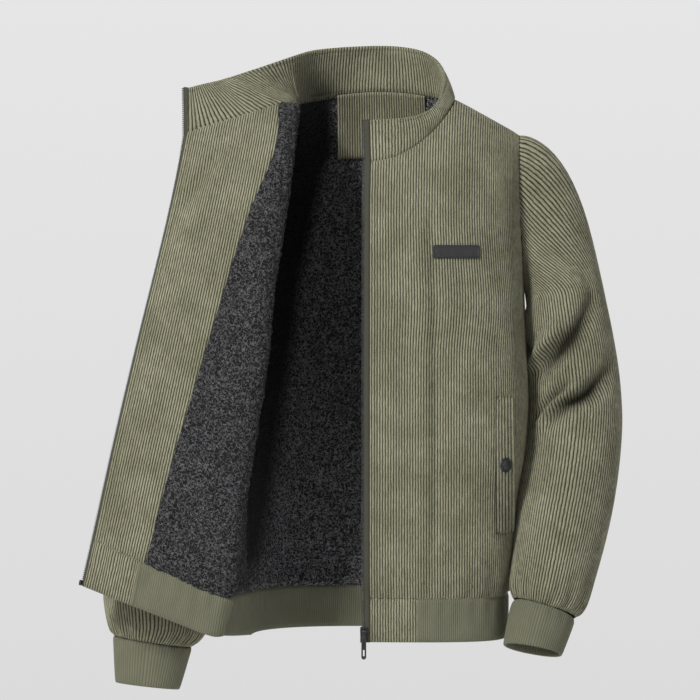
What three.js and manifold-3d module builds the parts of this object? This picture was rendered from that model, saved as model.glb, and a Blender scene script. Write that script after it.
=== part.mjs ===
// A corduroy jacket with a stand collar, ribbed hem and cuffs and a fleece lining, filled out as it is
// worn, with its right front turned open. Millimetres, +Z up, the front faces -Y and the wearer's left
// is +X. The origin is the middle of the neck, at the height of the two points where the shoulder seams
// meet the collar.
import * as THREE from 'three';
import { mergeVertices } from 'three/addons/utils/BufferGeometryUtils.js';
import Module from 'manifold-3d';

const wasm = await Module();
wasm.setup();

// Cloth: how thick each layer is, and the clearance that seams and layers keep
const corduroy = 2;
const fleece = 3.5;
const ribKnit = 4;
const seam = 0.3;
const layerGap = 0.9;
const lined = corduroy + layerGap;
const innerFace = lined + fleece;
const backClear = 0.6; // more room behind the back's lining, where the back bends most

// Body: a section for each height, with its half widths on the wearer's left and right, its depth in
// front of and behind the side seams, how far the right side seam is drawn forward, and how square the
// front and back are
const bodySections = [
  { z: -683, left: 170, right: 160, front: 122, back: 110, rightSeamY: -30, squareFront: 3.6, squareBack: 2.5 },
  { z: -628, left: 170, right: 162, front: 123, back: 112, rightSeamY: -32, squareFront: 3.6, squareBack: 2.5 },
  { z: -606, left: 174, right: 166, front: 129, back: 119, rightSeamY: -34, squareFront: 3.8, squareBack: 2.5 },
  { z: -570, left: 178, right: 168, front: 131, back: 122, rightSeamY: -36, squareFront: 4, squareBack: 2.5 },
  { z: -500, left: 184, right: 168, front: 131, back: 122, rightSeamY: -38, squareFront: 4.2, squareBack: 2.5 },
  { z: -450, left: 192, right: 169, front: 130, back: 121, rightSeamY: -35, squareFront: 4.2, squareBack: 2.5 },
  { z: -390, left: 196, right: 174, front: 130, back: 121, rightSeamY: -27, squareFront: 4, squareBack: 2.5 },
  { z: -330, left: 194, right: 180, front: 129, back: 122, rightSeamY: -16, squareFront: 3.6, squareBack: 2.5 },
  { z: -243, left: 190, right: 190, front: 127, back: 123, rightSeamY: 0, squareFront: 3, squareBack: 2.5 },
  { z: -165, left: 189, right: 189, front: 124, back: 120, rightSeamY: 0, squareFront: 2.6, squareBack: 2.5 },
];
const bandFoot = -683;
const hemSeam = -628;
const bend = -165; // above this height the cloth turns in over the shoulders
const shoulderArc = 170; // length given to that turn
const shoulderRound = 1.8;
const ridgeY = 5;
const shoulderFall = 0.553; // drop of the shoulder for each millimetre out from the neck
const shoulderSeamY = -15;
const tipX = 184; // where the shoulder seam ends at the sleeve
const underarm = -243;
const armholeRound = 2.2;

// Neck: half width of the collar seam, its drop in front and rise behind, and the height at which each
// panel would close over the neck if it weren't cut away
const neckHalf = 103;
const neckDrop = 85;
const neckRise = 18;
const neckCurve = 0.75;
const frontCrown = 8;
const backCrown = 88;

// Right front, turned open: its free edge, and the crest of the fold on which it turns. Share 0 is the
// hem seam and share 1 the collar seam, and the first row of each is the foot of the band. The fold's two
// sides lie as far apart as round says, and tuck is how far its back side is drawn outwards
const bandShare = -0.1;
const openEdge = [
  { share: -0.1, x: -359, y: -105, z: -617 },
  { share: 0, x: -346, y: -105, z: -560 },
  { share: 0.25, x: -318, y: -102, z: -431 },
  { share: 0.5, x: -288, y: -99, z: -302 },
  { share: 0.75, x: -258, y: -88, z: -174 },
  { share: 0.9, x: -242, y: -76, z: -96 },
  { share: 1, x: -234, y: -62, z: -45 },
];
const foldCrest = [
  { share: -0.1, x: -188, y: -108, z: -677, round: 8, tuck: 8 },
  { share: 0, x: -174, y: -110, z: -628, round: 9, tuck: 9 },
  { share: 0.12, x: -166, y: -112, z: -553, round: 10, tuck: 10 },
  { share: 0.25, x: -154, y: -113, z: -472, round: 10, tuck: 10 },
  { share: 0.5, x: -130, y: -111, z: -314, round: 10, tuck: 10 },
  { share: 0.62, x: -124, y: -107, z: -240, round: 10, tuck: 10 },
  { share: 0.75, x: -112, y: -96, z: -157, round: 10, tuck: 10 },
  { share: 0.86, x: -104, y: -78, z: -88, round: 9, tuck: 8 },
  { share: 0.94, x: -101, y: -54, z: -40, round: 8, tuck: 5 },
  { share: 1, x: -100, y: -24, z: -8, round: 14, tuck: 3 },
];
const underarmShare = 0.61;
const tipShare = 0.92;
const panelBelly = 7; // how far the open panel swells towards the front between its fold and its edge
const sideSwell = 0.1; // swell of the cloth between the side seam and the fold, as a share of its width
const sideReach = 90;

// Facing of the right front: its width from the free edge
const facingWidths = [
  { share: 0, wide: 72 },
  { share: 0.25, wide: 79 },
  { share: 0.5, wide: 90 },
  { share: 0.75, wide: 106 },
  { share: 0.9, wide: 126 },
  { share: 1, wide: 121 },
];

// Collar: where its top edge runs above the seam. The turn is an angle round the neck from the left
// front edge, and after the right shoulder it goes on as the millimetres along the open front's seam
const collarTop = [
  { at: 0, x: -2, y: -99, z: -32 },
  { at: 20, x: 34, y: -94, z: -30 },
  { at: 40, x: 60, y: -77, z: -24 },
  { at: 60, x: 79, y: -50, z: -9 },
  { at: 80, x: 87, y: -20, z: 17 },
  { at: 100, x: 87, y: 12, z: 38 },
  { at: 120, x: 77, y: 36, z: 56 },
  { at: 140, x: 58, y: 50, z: 68 },
  { at: 160, x: 32, y: 58, z: 74 },
  { at: 180, x: 4, y: 61, z: 76 },
  { at: 200, x: -30, y: 58, z: 75 },
  { at: 220, x: -62, y: 48, z: 72 },
  { at: 240, x: -87, y: 29, z: 67 },
  { at: 270, x: -112, y: -4, z: 55 },
  { at: 300, x: -145, y: -33, z: 40 },
  { at: 330, x: -186, y: -54, z: 24 },
  { at: 350, x: -217, y: -63, z: 16 },
  { at: 360, x: -233, y: -66, z: 12 },
];
const collarLayer = 2.2;

// Sleeves: a ring for each row, with its innermost and outermost points as seen from the front, the
// height of its middle along Y and its half depth. x counts outwards from the body on both sides
const leftRings = [
  { inX: 193, inZ: -264, outX: 291, outZ: -244, midY: 2, deep: 61 },
  { inX: 195, inZ: -300, outX: 302, outZ: -296, midY: 0, deep: 63 },
  { inX: 197, inZ: -335, outX: 310, outZ: -344, midY: -1, deep: 62.5 },
  { inX: 199, inZ: -372, outX: 314, outZ: -390, midY: -5, deep: 61.5 },
  { inX: 199, inZ: -405, outX: 314, outZ: -425, midY: -12, deep: 60 },
  { inX: 195, inZ: -450, outX: 310, outZ: -470, midY: -26, deep: 58 },
  { inX: 189, inZ: -493, outX: 303, outZ: -515, midY: -40, deep: 55 },
  { inX: 182, inZ: -534, outX: 293, outZ: -560, midY: -53, deep: 52 },
  { inX: 176, inZ: -582, outX: 280, outZ: -606, midY: -65, deep: 49 },
  { inX: 173, inZ: -614, outX: 269, outZ: -638, midY: -72, deep: 46 },
  { inX: 177, inZ: -632, outX: 256, outZ: -655, midY: -76, deep: 38 },
];
const rightRings = [
  { inX: 193, inZ: -264, outX: 274, outZ: -246, midY: 4, deep: 61 },
  { inX: 196, inZ: -330, outX: 292, outZ: -320, midY: 10, deep: 62 },
  { inX: 200, inZ: -400, outX: 308, outZ: -394, midY: 12, deep: 61 },
  { inX: 204, inZ: -470, outX: 323, outZ: -468, midY: 11, deep: 59 },
  { inX: 208, inZ: -540, outX: 337, outZ: -538, midY: 8, deep: 56 },
  { inX: 212, inZ: -600, outX: 348, outZ: -596, midY: 3, deep: 54 },
  { inX: 214, inZ: -646, outX: 351, outZ: -636, midY: 0, deep: 51 },
  { inX: 218, inZ: -682, outX: 346, outZ: -666, midY: -2, deep: 48 },
  { inX: 236, inZ: -702, outX: 338, outZ: -687, midY: -3, deep: 40 },
];
const leftCuffRings = [
  { inX: 178, inZ: -634, outX: 254, outZ: -657, midY: -76.5, deep: 36.5 },
  { inX: 173, inZ: -650, outX: 249, outZ: -671, midY: -81, deep: 36 },
  { inX: 165, inZ: -688, outX: 238, outZ: -701, midY: -90, deep: 35 },
];
const rightCuffRings = [
  { inX: 236.5, inZ: -702.5, outX: 337.5, outZ: -687.6, midY: -3, deep: 39.6 },
  { inX: 242, inZ: -720, outX: 336, outZ: -706, midY: -4, deep: 38 },
  { inX: 252, inZ: -756, outX: 334, outZ: -747, midY: -7, deep: 37 },
];
const sleeveSquare = 2.15;

// Folds of the left sleeve, where the bent arm bunches the cloth inside the elbow. Round counts from
// the inner seam (0) by the front (0.25) to the outside (0.5), and down counts the rings
const leftSleeveFolds = [
  { round: 0.04, down: 2.6, toRound: 0.34, toDown: 0.4, wide: 15, deep: 9 },
  { round: 0.02, down: 1.7, toRound: 0.2, toDown: 0.2, wide: 11, deep: -5 },
  { round: 0.06, down: 4.1, toRound: 0.22, toDown: 2.5, wide: 9, deep: 9 },
  { round: 0.2, down: 3.5, toRound: 0.4, toDown: 2.1, wide: 13, deep: 6 },
  { round: 0.08, down: 4.4, toRound: 0.25, toDown: 2.6, wide: 9, deep: -5 },
  { round: 0.7, down: 2.2, toRound: 0.9, toDown: 3.4, wide: 16, deep: 6 },
];
const rightSleeveFolds = [
  { round: 0.05, down: 2.6, toRound: 0.3, toDown: 1.9, wide: 16, deep: 5 },
  { round: 0.66, down: 2.4, toRound: 0.92, toDown: 3.3, wide: 18, deep: 5 },
];
const gatherDepth = 1.6; // in and out at each gather above the cuffs and the band
const gatherRows = 2;

// Pockets, badge and zip
const welt = { nearX: 156, farX: 177, top: -377, foot: -548, lift: 1 };
const openWelt = { near: 142, far: 163, foot: 0.13, top: 0.4 };
const weltStand = 0.5;
const openWeltStand = 0.9;
const snap = { radius: 9, height: 3.2 };
const snapClear = 0.8; // between the snap and the welt's flat faces below its middle
const openSnapClear = 1.3;
const badge = { x: 107, z: -198, wide: 57, high: 16, thick: 1.8, stand: 0.4 };
const patchColumns = { from: 13, to: 19 };
const patchRows = 3;
const tabWide = 60;
const openTabWide = 68;
const bandInset = 0.6;
const bandInner = bandInset + ribKnit;
const tabClear = 0.1; // of a row's last stretch: the rib's last columns keep this far from the tab
const tabGap = 0.004;
const tape = { wide: 6, thick: 1.2, toothWide: 3.4, toothThick: 3, depth: 1.2, step: 3 };
const clip = { reach: 4.2, wall: 1.2, clear: 0.4 };
const slider = { above: 7, high: 12, lugLong: 3.4, lugWide: 1.2 };
const pull = { wide: 6, thick: 1.6, long: 35, knuckle: 2.2, eye: 1.25, pin: 0.85, ahead: 2.6 };
const pullSlot = { wide: 2.2, high: 8, foot: 4 };
const stopHigh = 6.5;

const degrees = Math.PI / 180;

// Reads one named column of a table at a position, on a smooth curve through its rows
function read(table, by, at, name) {
  let i = 0;
  while (i < table.length - 2 && at > table[i + 1][by]) i += 1;
  const slope = (k) => {
    const a = table[Math.max(k - 1, 0)];
    const b = table[Math.min(k + 1, table.length - 1)];
    return (b[name] - a[name]) / (b[by] - a[by]);
  };
  const [p, q] = [table[i], table[i + 1]];
  const span = q[by] - p[by];
  const s = THREE.MathUtils.clamp((at - p[by]) / span, 0, 1);
  const rise = s * s * (3 - 2 * s);
  const bulge = (s * (1 - s) * (1 - s) * slope(i) - s * s * (1 - s) * slope(i + 1)) * span;
  return p[name] + (q[name] - p[name]) * rise + bulge;
}

const readPoint = (table, by, at) => new THREE.Vector3(...['x', 'y', 'z'].map((k) => read(table, by, at, k)));
const steps = (count, from = 0, to = 1) =>
  Array.from({ length: count + 1 }, (_, i) => from + ((to - from) * i) / count);

// The point at a share of a polyline's length
function atShare(points, share) {
  const lengths = [0];
  points.slice(1).forEach((p, i) => lengths.push(lengths[i] + p.distanceTo(points[i])));
  const wanted = THREE.MathUtils.clamp(share, 0, 1) * lengths[lengths.length - 1];
  let i = 0;
  while (i < points.length - 2 && wanted > lengths[i + 1]) i += 1;
  const s = (wanted - lengths[i]) / Math.max(lengths[i + 1] - lengths[i], 1e-9);
  return points[i].clone().lerp(points[i + 1], s);
}
const lengthOf = (points) => points.slice(1).reduce((sum, p, i) => sum + p.distanceTo(points[i]), 0);

// A quarter of a superellipse, from 0 to 1 in each of its two coordinates
const roundSin = (angle, square) => Math.abs(Math.sin(angle)) ** (2 / square);
const roundCos = (angle, square) => Math.abs(Math.cos(angle)) ** (2 / square);

// The body's section at a height: the left front from the zip to the side seam, or the whole back from
// the left side seam to the right one. Above the underarms both sides are alike
const sectionCache = new Map();
function section(panel, z) {
  const key = `${panel} ${z.toFixed(4)}`;
  if (!sectionCache.has(key)) {
    const row = (name) => read(bodySections, 'z', z, name);
    const square = row(panel === 'front' ? 'squareFront' : 'squareBack');
    const seamY = rightSeam(z).y;
    const turn = panel === 'front' ? 90 : 180;
    const points = steps(60, 0, turn * degrees).map((a) => {
      if (panel === 'front') {
        return new THREE.Vector3(row('left') * roundSin(a, square), -row('front') * roundCos(a, square), z);
      }
      const onLeft = a <= 90 * degrees;
      const base = onLeft ? 0 : seamY;
      const half = onLeft ? row('left') : rightSeam(z).x;
      const deep = base + (row('back') - base) * roundSin(a, square);
      return new THREE.Vector3(half * roundCos(a, square), deep, z);
    });
    sectionCache.set(key, points);
  }
  return sectionCache.get(key);
}
function rightSeam(z) {
  const alike = z >= underarm;
  const y = alike ? 0 : Math.min(read(bodySections, 'z', z, 'rightSeamY'), 0);
  return new THREE.Vector3(-read(bodySections, 'z', z, alike ? 'left' : 'right'), y, z);
}

// The height at which the cloth would meet over the shoulder or the neck at a given x
function crownAt(x, crown) {
  const out = Math.abs(x);
  return out >= neckHalf ? -(out - neckHalf) * shoulderFall : crown * (1 - (out / neckHalf) ** 2);
}
const seamTurn = 15; // how far from the neck the shoulder seam has come forward of the ridge
const shoulderTop = (x) =>
  shoulderSeamY + (ridgeY - shoulderSeamY) * Math.max(0, 1 - Math.max(Math.abs(x) - neckHalf, 0) / seamTurn);
const necklineZ = (x, tall) => tall * Math.max(0, 1 - (x / neckHalf) ** 2) ** neckCurve;

// A point of the front or back panel. Height h is the true z up to the bend, and goes on as the length
// of the turn over the shoulder; past the ridge it comes down the front again
function bodyPoint(panel, share, h) {
  if (h <= bend) return atShare(section(panel, h), share);
  const foot = atShare(section(panel, bend), share);
  const over = (h - bend) / shoulderArc;
  const footY = over > 1 ? frontDepthAt(foot.x) : foot.y;
  const angle = (over > 1 ? 2 - over : over) * 90 * degrees;
  const top = crownAt(foot.x, panel === 'front' ? frontCrown : backCrown);
  const y = ridgeY + (footY - ridgeY) * roundCos(angle, shoulderRound);
  return new THREE.Vector3(foot.x, y, bend + (top - bend) * roundSin(angle, shoulderRound));
}
const frontY = (x, z) => {
  const square = read(bodySections, 'z', z, 'squareFront');
  const out = Math.min(Math.abs(x) / read(bodySections, 'z', z, 'left'), 1);
  return -read(bodySections, 'z', z, 'front') * (1 - out ** square) ** (1 / square);
};
const frontDepthAt = (x) => frontY(x, bend);
const heightOfZ = (x, crown, z) => {
  const risen = Math.min((z - bend) / (crownAt(x, crown) - bend), 1);
  return bend + (shoulderArc * Math.asin(risen ** (shoulderRound / 2))) / (90 * degrees);
};
const heightOfSeam = (x, pastRidge) => {
  const depth = (shoulderTop(x) - ridgeY) / (frontDepthAt(x) - ridgeY);
  const angle = Math.acos(depth ** (shoulderRound / 2)) / (90 * degrees);
  return bend + shoulderArc * (pastRidge ? 2 - angle : angle);
};

// The share of a panel's section, at the bend, at which it reaches a given x
function shareOfX(panel, x) {
  const points = section(panel, bend);
  const total = lengthOf(points);
  let walked = 0;
  for (let i = 1; i < points.length; i += 1) {
    const [a, b] = [points[i - 1], points[i]];
    if ((a.x - x) * (b.x - x) <= 0) return (walked + (a.distanceTo(b) * (x - a.x)) / (b.x - a.x)) / total;
    walked += a.distanceTo(b);
  }
  throw new Error(`the ${panel} never reaches ${x}`);
}
const frontTip = shareOfX('front', tipX);
const backTip = shareOfX('back', tipX);

// Where each column of a panel ends: at the neckline, the shoulder seam or the armhole
function topOf(panel, share) {
  const back = panel === 'back';
  const x = atShare(section(panel, bend), share).x;
  const pastTip = back
    ? Math.max(1 - share / backTip, 1 - (1 - share) / backTip)
    : (share - frontTip) / (1 - frontTip);
  if (pastTip <= 0 && Math.abs(x) < neckHalf) {
    const crown = back ? backCrown : frontCrown;
    return heightOfZ(x, crown, necklineZ(x, back ? neckRise : -neckDrop));
  }
  if (pastTip <= 0) return heightOfSeam(x, back);
  const tip = heightOfSeam(tipX, back);
  return tip - (tip - underarm) * (1 - (1 - Math.min(pastTip, 1)) ** armholeRound) ** (1 / armholeRound);
}

// A grid of points over a surface, each with the direction that faces out of the cloth there
const nearby = 0.002;
function gridOf(us, vs, point) {
  return us.map((u) => vs.map((v) => {
    const across = point(u + nearby, v).sub(point(u - nearby, v));
    const up = point(u, v + nearby).sub(point(u, v - nearby));
    return { at: point(u, v), out: across.cross(up).normalize() };
  }));
}

// Columns of the panels: evenly round the body, closer round the armhole, and round the neck in steps of
// one angle, so that the collar's and the sleeves' columns meet them. All are shares of the section
const armholeSteps = 8;
const seamStart = 1.2; // how far out of the neck point the shoulder seam begins
const neckTurns = [0, 20, 32, 42, 60, 76, 90];
const tipFall = (s) => Math.max(Math.cos(s * 90 * degrees), 0) ** (2 / armholeRound);
const pastTips = steps(armholeSteps).map((s) => 1 - tipFall(s));
const turnXs = neckTurns.slice(0, -1).map((turn) => neckHalf * Math.sin(turn * degrees));
const neckXs = [...turnXs, neckHalf + seamStart];
const shoulderXs = steps(3, neckHalf, tipX).slice(1, 3);
const frontColumns = [
  ...[...neckXs, ...shoulderXs].map((x) => shareOfX('front', x)),
  ...pastTips.map((t) => frontTip + (1 - frontTip) * t),
];
const backLeft = [
  ...[...pastTips].reverse().map((t) => backTip * (1 - t)),
  ...[...shoulderXs].reverse().map((x) => shareOfX('back', x)),
  ...[...neckXs].reverse().map((x) => shareOfX('back', x)),
];
const backColumns = [...backLeft, ...backLeft.slice(0, -1).reverse().map((share) => 1 - share)];

// Rows of a panel are closer together towards its top, where it turns over the shoulder
const panelRows = 10;
const edgeShare = 0.001;
const rowCrowding = 1.56;
const panelRowShares = [0, 0.055, ...steps(panelRows).slice(1).map((s) => 1 - (1 - s) ** rowCrowding)];
const bodySpot = (panel, share, h) =>
  gridOf([share], [h], (u, v) => bodyPoint(panel, THREE.MathUtils.clamp(u, 0, 1), v))[0][0];
const panelGrid = (panel, columns) => columns.map((column) => {
  const share = THREE.MathUtils.clamp(column, edgeShare, 1 - edgeShare);
  const foot = hemSeam + seam;
  return panelRowShares.map((v) => bodySpot(panel, share, foot + (topOf(panel, share) - seam - foot) * v));
});

// Right front: the seam where it meets the back, by the side, the armhole and the shoulder. Its points
// carry the direction that faces out of the neighbouring panel, so that the two meet edge to edge
const flipped = ({ at, out }) => ({
  at: new THREE.Vector3(-at.x, at.y, at.z),
  out: new THREE.Vector3(-out.x, out.y, out.z),
});
const armholeSpots = (panel, columns) => [...columns].reverse().map((u) => bodySpot(panel, u, topOf(panel, u)));
const frontArmhole = armholeSpots('front', frontColumns.slice(-armholeSteps - 1));
const backArmhole = armholeSpots('back', backColumns.slice(0, armholeSteps + 1));
const rightArmhole = frontArmhole.map(flipped);
function sideSeam(share) {
  if (share <= underarmShare) {
    const z = share < 0 ? hemSeam + ((bandFoot - hemSeam) * share) / bandShare
      : hemSeam + ((underarm - hemSeam) * share) / underarmShare;
    return bodySpot('back', 1, z);
  }
  if (share <= tipShare) {
    const k = ((share - underarmShare) / (tipShare - underarmShare)) * armholeSteps;
    const [a, b] = [rightArmhole[Math.floor(k)], rightArmhole[Math.ceil(k)]];
    return { at: a.at.clone().lerp(b.at, k % 1), out: a.out.clone().lerp(b.out, k % 1).normalize() };
  }
  const x = tipX + ((neckHalf - tipX) * (Math.min(share, 1) - tipShare)) / (1 - tipShare);
  return flipped(bodySpot('front', shareOfX('front', x), heightOfSeam(x, false)));
}

// A row of the right front runs from its side seam (0) forward to the fold (1), round it (2) and out to
// the free edge (3)
const rowCache = new Map();
function openRow(share) {
  if (!rowCache.has(share)) {
    const side = sideSeam(share).at;
    const crest = readPoint(foldCrest, 'share', share);
    const [round, tuck] = ['round', 'tuck'].map((name) => read(foldCrest, 'share', share, name));
    const edge = readPoint(openEdge, 'share', share);
    const under = crest.clone().add(new THREE.Vector3(-tuck, round, 0));
    const over = crest.clone().add(new THREE.Vector3(-round, -round, 0));
    const swell = (a, b, s, out) => {
      const forward = new THREE.Vector3(0, -out * Math.sin(s * Math.PI), 0);
      return a.clone().lerp(b, s).add(forward);
    };
    const hollow = sideSwell * Math.min(side.distanceTo(under), sideReach);
    const route = [side, swell(side, under, 0.5, hollow), under, crest, over,
      swell(over, edge, 0.35, panelBelly), swell(over, edge, 0.7, panelBelly), edge];
    const curve = new THREE.CatmullRomCurve3(route, false, 'centripetal');
    const part = (from, to) => steps(32, from, to).map((t) => curve.getPoint(t));
    rowCache.set(share, [part(0, 2 / 7), part(2 / 7, 4 / 7), part(4 / 7, 1)]);
  }
  return rowCache.get(share);
}
function openPoint(u, share) {
  const stretch = THREE.MathUtils.clamp(Math.floor(u), 0, 2);
  return atShare(openRow(share)[stretch], u - stretch);
}
const openAcross = (fromEdge, share) => 3 - fromEdge / lengthOf(openRow(share)[2]);

// Rows of the open front: by the side seam, by the armhole in the sleeve's steps, and by the shoulder
const sideRows = 6;
const shoulderRows = 3;
const openRows = [
  ...steps(sideRows, 0, underarmShare),
  ...steps(armholeSteps, underarmShare, tipShare).slice(1),
  ...steps(shoulderRows, tipShare, 1).slice(1),
];
const sideColumns = steps(4);
const foldColumns = steps(5, 1, 2).slice(1);
const openColumns = [...sideColumns, ...foldColumns, 2.1, 2.25, 2.45, 2.7, 3];
const shareGap = 0.0006;
const sideGap = 0.012;
function openGrid(columns, rows) {
  const point = (u, v) => openPoint(Math.max(u, sideGap), THREE.MathUtils.clamp(v, bandShare, 1));
  const kept = rows.map((v) => THREE.MathUtils.clamp(v, shareGap, 1 - shareGap));
  return meetingSide(gridOf(columns, kept, point), kept);
}
function meetingSide(grid, rows) {
  const [first, ...others] = grid;
  return [first.map(({ at }, j) => ({ at, out: sideSeam(rows[j]).out })), ...others];
}

// A layer inside the open front, whose columns say where they lie across it in each row
function openLayer(columns, rows, across) {
  const point = (u, v) => {
    const share = THREE.MathUtils.clamp(v, 0, 1);
    return openPoint(THREE.MathUtils.clamp(across(u, share), 0, 3), share);
  };
  const kept = rows.map((v) => THREE.MathUtils.clamp(v, shareGap, 1 - 2 * shareGap));
  const grid = gridOf(columns, kept, point);
  return across(columns[0], 0.5) < 1 ? meetingSide(grid, kept) : grid;
}

// A wall of cloth behind a grid of points, from one depth to another. Depths may vary over the grid
function wall(grid, from, to, around = false) {
  const columns = grid.length;
  const rows = grid[0].length;
  const positions = [];
  for (const depth of [from, to]) {
    grid.forEach((line, i) => line.forEach(({ at, out }, j) => {
      const behind = typeof depth === 'function' ? depth(i / (columns - 1), j / (rows - 1)) : depth;
      positions.push(...at.clone().addScaledVector(out, -behind).toArray());
    }));
  }
  const at = (face, i, j) => face * columns * rows + (i % columns) * rows + j;
  const index = [];
  const quad = (a, b, c, d) => index.push(a, b, c, a, c, d);
  const last = rows - 1;
  for (let i = 0; i < (around ? columns : columns - 1); i += 1) {
    for (let j = 0; j < last; j += 1) {
      quad(at(0, i, j), at(0, i + 1, j), at(0, i + 1, j + 1), at(0, i, j + 1));
      quad(at(1, i, j), at(1, i, j + 1), at(1, i + 1, j + 1), at(1, i + 1, j));
    }
    quad(at(0, i, 0), at(1, i, 0), at(1, i + 1, 0), at(0, i + 1, 0));
    quad(at(0, i, last), at(0, i + 1, last), at(1, i + 1, last), at(1, i, last));
  }
  if (!around) {
    const end = columns - 1;
    for (let j = 0; j < last; j += 1) {
      quad(at(0, 0, j), at(0, 0, j + 1), at(1, 0, j + 1), at(1, 0, j));
      quad(at(0, end, j), at(1, end, j), at(1, end, j + 1), at(0, end, j + 1));
    }
  }
  const geometry = new THREE.BufferGeometry();
  geometry.setAttribute('position', new THREE.Float32BufferAttribute(positions, 3));
  geometry.setIndex(index);
  return geometry;
}

// Small puckers where the cloth is gathered: every other column stands out near the gathered end
function gather(grid, around = false) {
  return grid.map((line, i) => line.map(({ at, out }, j) => {
    const near = Math.max(0, 1 - j / gatherRows);
    const held = !around && (i === 0 || i === grid.length - 1);
    return { at: at.clone().addScaledVector(out, held || i % 2 === 0 ? 0 : gatherDepth * near), out };
  }));
}

// One ring of a sleeve, from its inner seam round by the front
const sleeveColumns = 2 * armholeSteps;
function ringPoint(rings, k, share) {
  const table = rings.map((ring, i) => ({ ...ring, i }));
  const row = (name, at = k) => read(table, 'i', THREE.MathUtils.clamp(at, 0, rings.length - 1), name);
  const inner = new THREE.Vector3(row('inX'), row('midY'), row('inZ'));
  const outer = new THREE.Vector3(row('outX'), row('midY'), row('outZ'));
  const drop = (name) => row(name, k - 0.5) - row(name, k + 0.5);
  const lean = Math.atan((2 * drop('midY')) / (drop('inZ') + drop('outZ')));
  const forward = new THREE.Vector3(0, -Math.cos(lean), Math.sin(lean)).multiplyScalar(row('deep'));
  const centre = inner.clone().lerp(outer, 0.5);
  const half = outer.clone().sub(inner).multiplyScalar(0.5);
  const a = share * 360 * degrees;
  return centre
    .addScaledVector(half, -Math.sign(Math.cos(a)) * roundCos(a, sleeveSquare))
    .addScaledVector(forward, Math.sign(Math.sin(a)) * roundSin(a, sleeveSquare));
}

// The armhole as a closed loop, from the underarm up its front, over the tip and down its back
const armhole = [...frontArmhole, ...backArmhole.slice(1)];
const capRows = 4;
const capGap = 0.6;
const capRise = 0.25; // how long the cap keeps the direction of the sleeve, as a share of its length
const capTurn = 0.33; // and how long it keeps the direction in which it meets the armhole

// A sleeve's cap: each column leaves the ring along the sleeve and curves in to the armhole
function capPoint(rings, share, s) {
  const k = THREE.MathUtils.clamp(share, 0, 1) * sleeveColumns;
  const spot = armhole[Math.floor(k)].at.clone().lerp(armhole[Math.ceil(k)].at, k % 1);
  const high = (spot.z - underarm) / (armhole[armholeSteps].at.z - underarm);
  const away = new THREE.Vector3(0.25 + 0.75 * high * high, 0, -(1 - 0.75 * high * high)).normalize();
  const end = spot.addScaledVector(away, capGap).add(new THREE.Vector3(capGap, 0, 0));
  const first = ringPoint(rings, 0, share);
  const rise = first.clone().sub(ringPoint(rings, 0.5, share)).normalize();
  const span = first.distanceTo(end);
  const curve = new THREE.CubicBezierCurve3(
    first,
    first.clone().addScaledVector(rise, capRise * span),
    end.clone().addScaledVector(away, capTurn * span),
    end,
  );
  return curve.getPoint(s);
}
function sleeveGrid(rings, folds, rowsBelow) {
  const last = rings.length - 1;
  const point = (share, v) => {
    if (v > last) return capPoint(rings, share, v - last);
    return ringPoint(rings, last - v, share);
  };
  const columns = steps(sleeveColumns).slice(0, sleeveColumns);
  const rows = [...steps(rowsBelow, 0, last), ...steps(capRows, last, last + 1).slice(1)];
  const grid = gridOf(columns, rows.map((v) => Math.min(v, last + 1 - nearby)), point);
  return foldSleeve(gather(grid, true), folds, rows.map((v) => last - v), rings);
}

// Presses the named folds into a sleeve: positive depths go in and negative ones stand out
const sleeveGirth = 380;
function foldSleeve(grid, folds, ringOfRow, rings) {
  const ringStep = (rings[0].inZ - rings[rings.length - 1].inZ) / (rings.length - 1);
  return grid.map((line, i) => line.map(({ at, out }, j) => {
    const push = folds.reduce((sum, fold) => {
      const round = ((i / grid.length - fold.round + 1.25) % 1) - 0.25;
      const along = new THREE.Vector2((fold.toRound - fold.round) * sleeveGirth, (fold.toDown - fold.down) * ringStep);
      const here = new THREE.Vector2(round * sleeveGirth, (ringOfRow[j] - fold.down) * ringStep);
      const s = THREE.MathUtils.clamp(here.dot(along) / along.lengthSq(), 0, 1);
      const away = here.distanceTo(along.multiplyScalar(s)) / fold.wide;
      return sum + fold.deep * Math.exp(-away * away) * Math.sin((0.15 + 0.7 * s) * Math.PI);
    }, 0);
    return { at: at.clone().addScaledVector(out, -push), out };
  }));
}

// A grid mirrored to the wearer's right, with its columns reversed so that its faces still point out
const mirrored = (grid) => [...grid].reverse().map((line) => line.map(flipped));

// The collar: it rises from the neckline of the left front and the back, and then from the open front's
// top edge. Its foot leans as the panel below does, so that the two meet edge to edge
const openTop = 1 - shareGap;
function collarSeam(at) {
  if (at > 270) return gridOf([((at - 270) / 90) * 3], [openTop], (u, v) => openPoint(u, Math.min(v, 1)))[0][0];
  const panel = at <= 90 ? 'front' : 'back';
  const x = THREE.MathUtils.clamp(neckHalf * Math.sin(at * degrees), 0.001 - neckHalf, neckHalf - 0.001);
  const crown = panel === 'front' ? frontCrown : backCrown;
  const rise = panel === 'front' ? -neckDrop : neckRise;
  return bodySpot(panel, shareOfX(panel, x), heightOfZ(x, crown, necklineZ(x, rise)));
}
const fromBack = [...neckTurns].reverse().map((turn) => 180 - turn);
const neckAngles = [...neckTurns, ...fromBack.slice(1), ...neckTurns.slice(1).map((turn) => 180 + turn)];
const openAngles = openColumns.slice(1).map((u) => 270 + u * 30);
const collarColumns = [...neckAngles, ...openAngles];
const collarRows = 2;
const collarInset = 0.5;
const collarStart = 0.03; // where the collar's foot lies, as a share of its height
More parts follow.
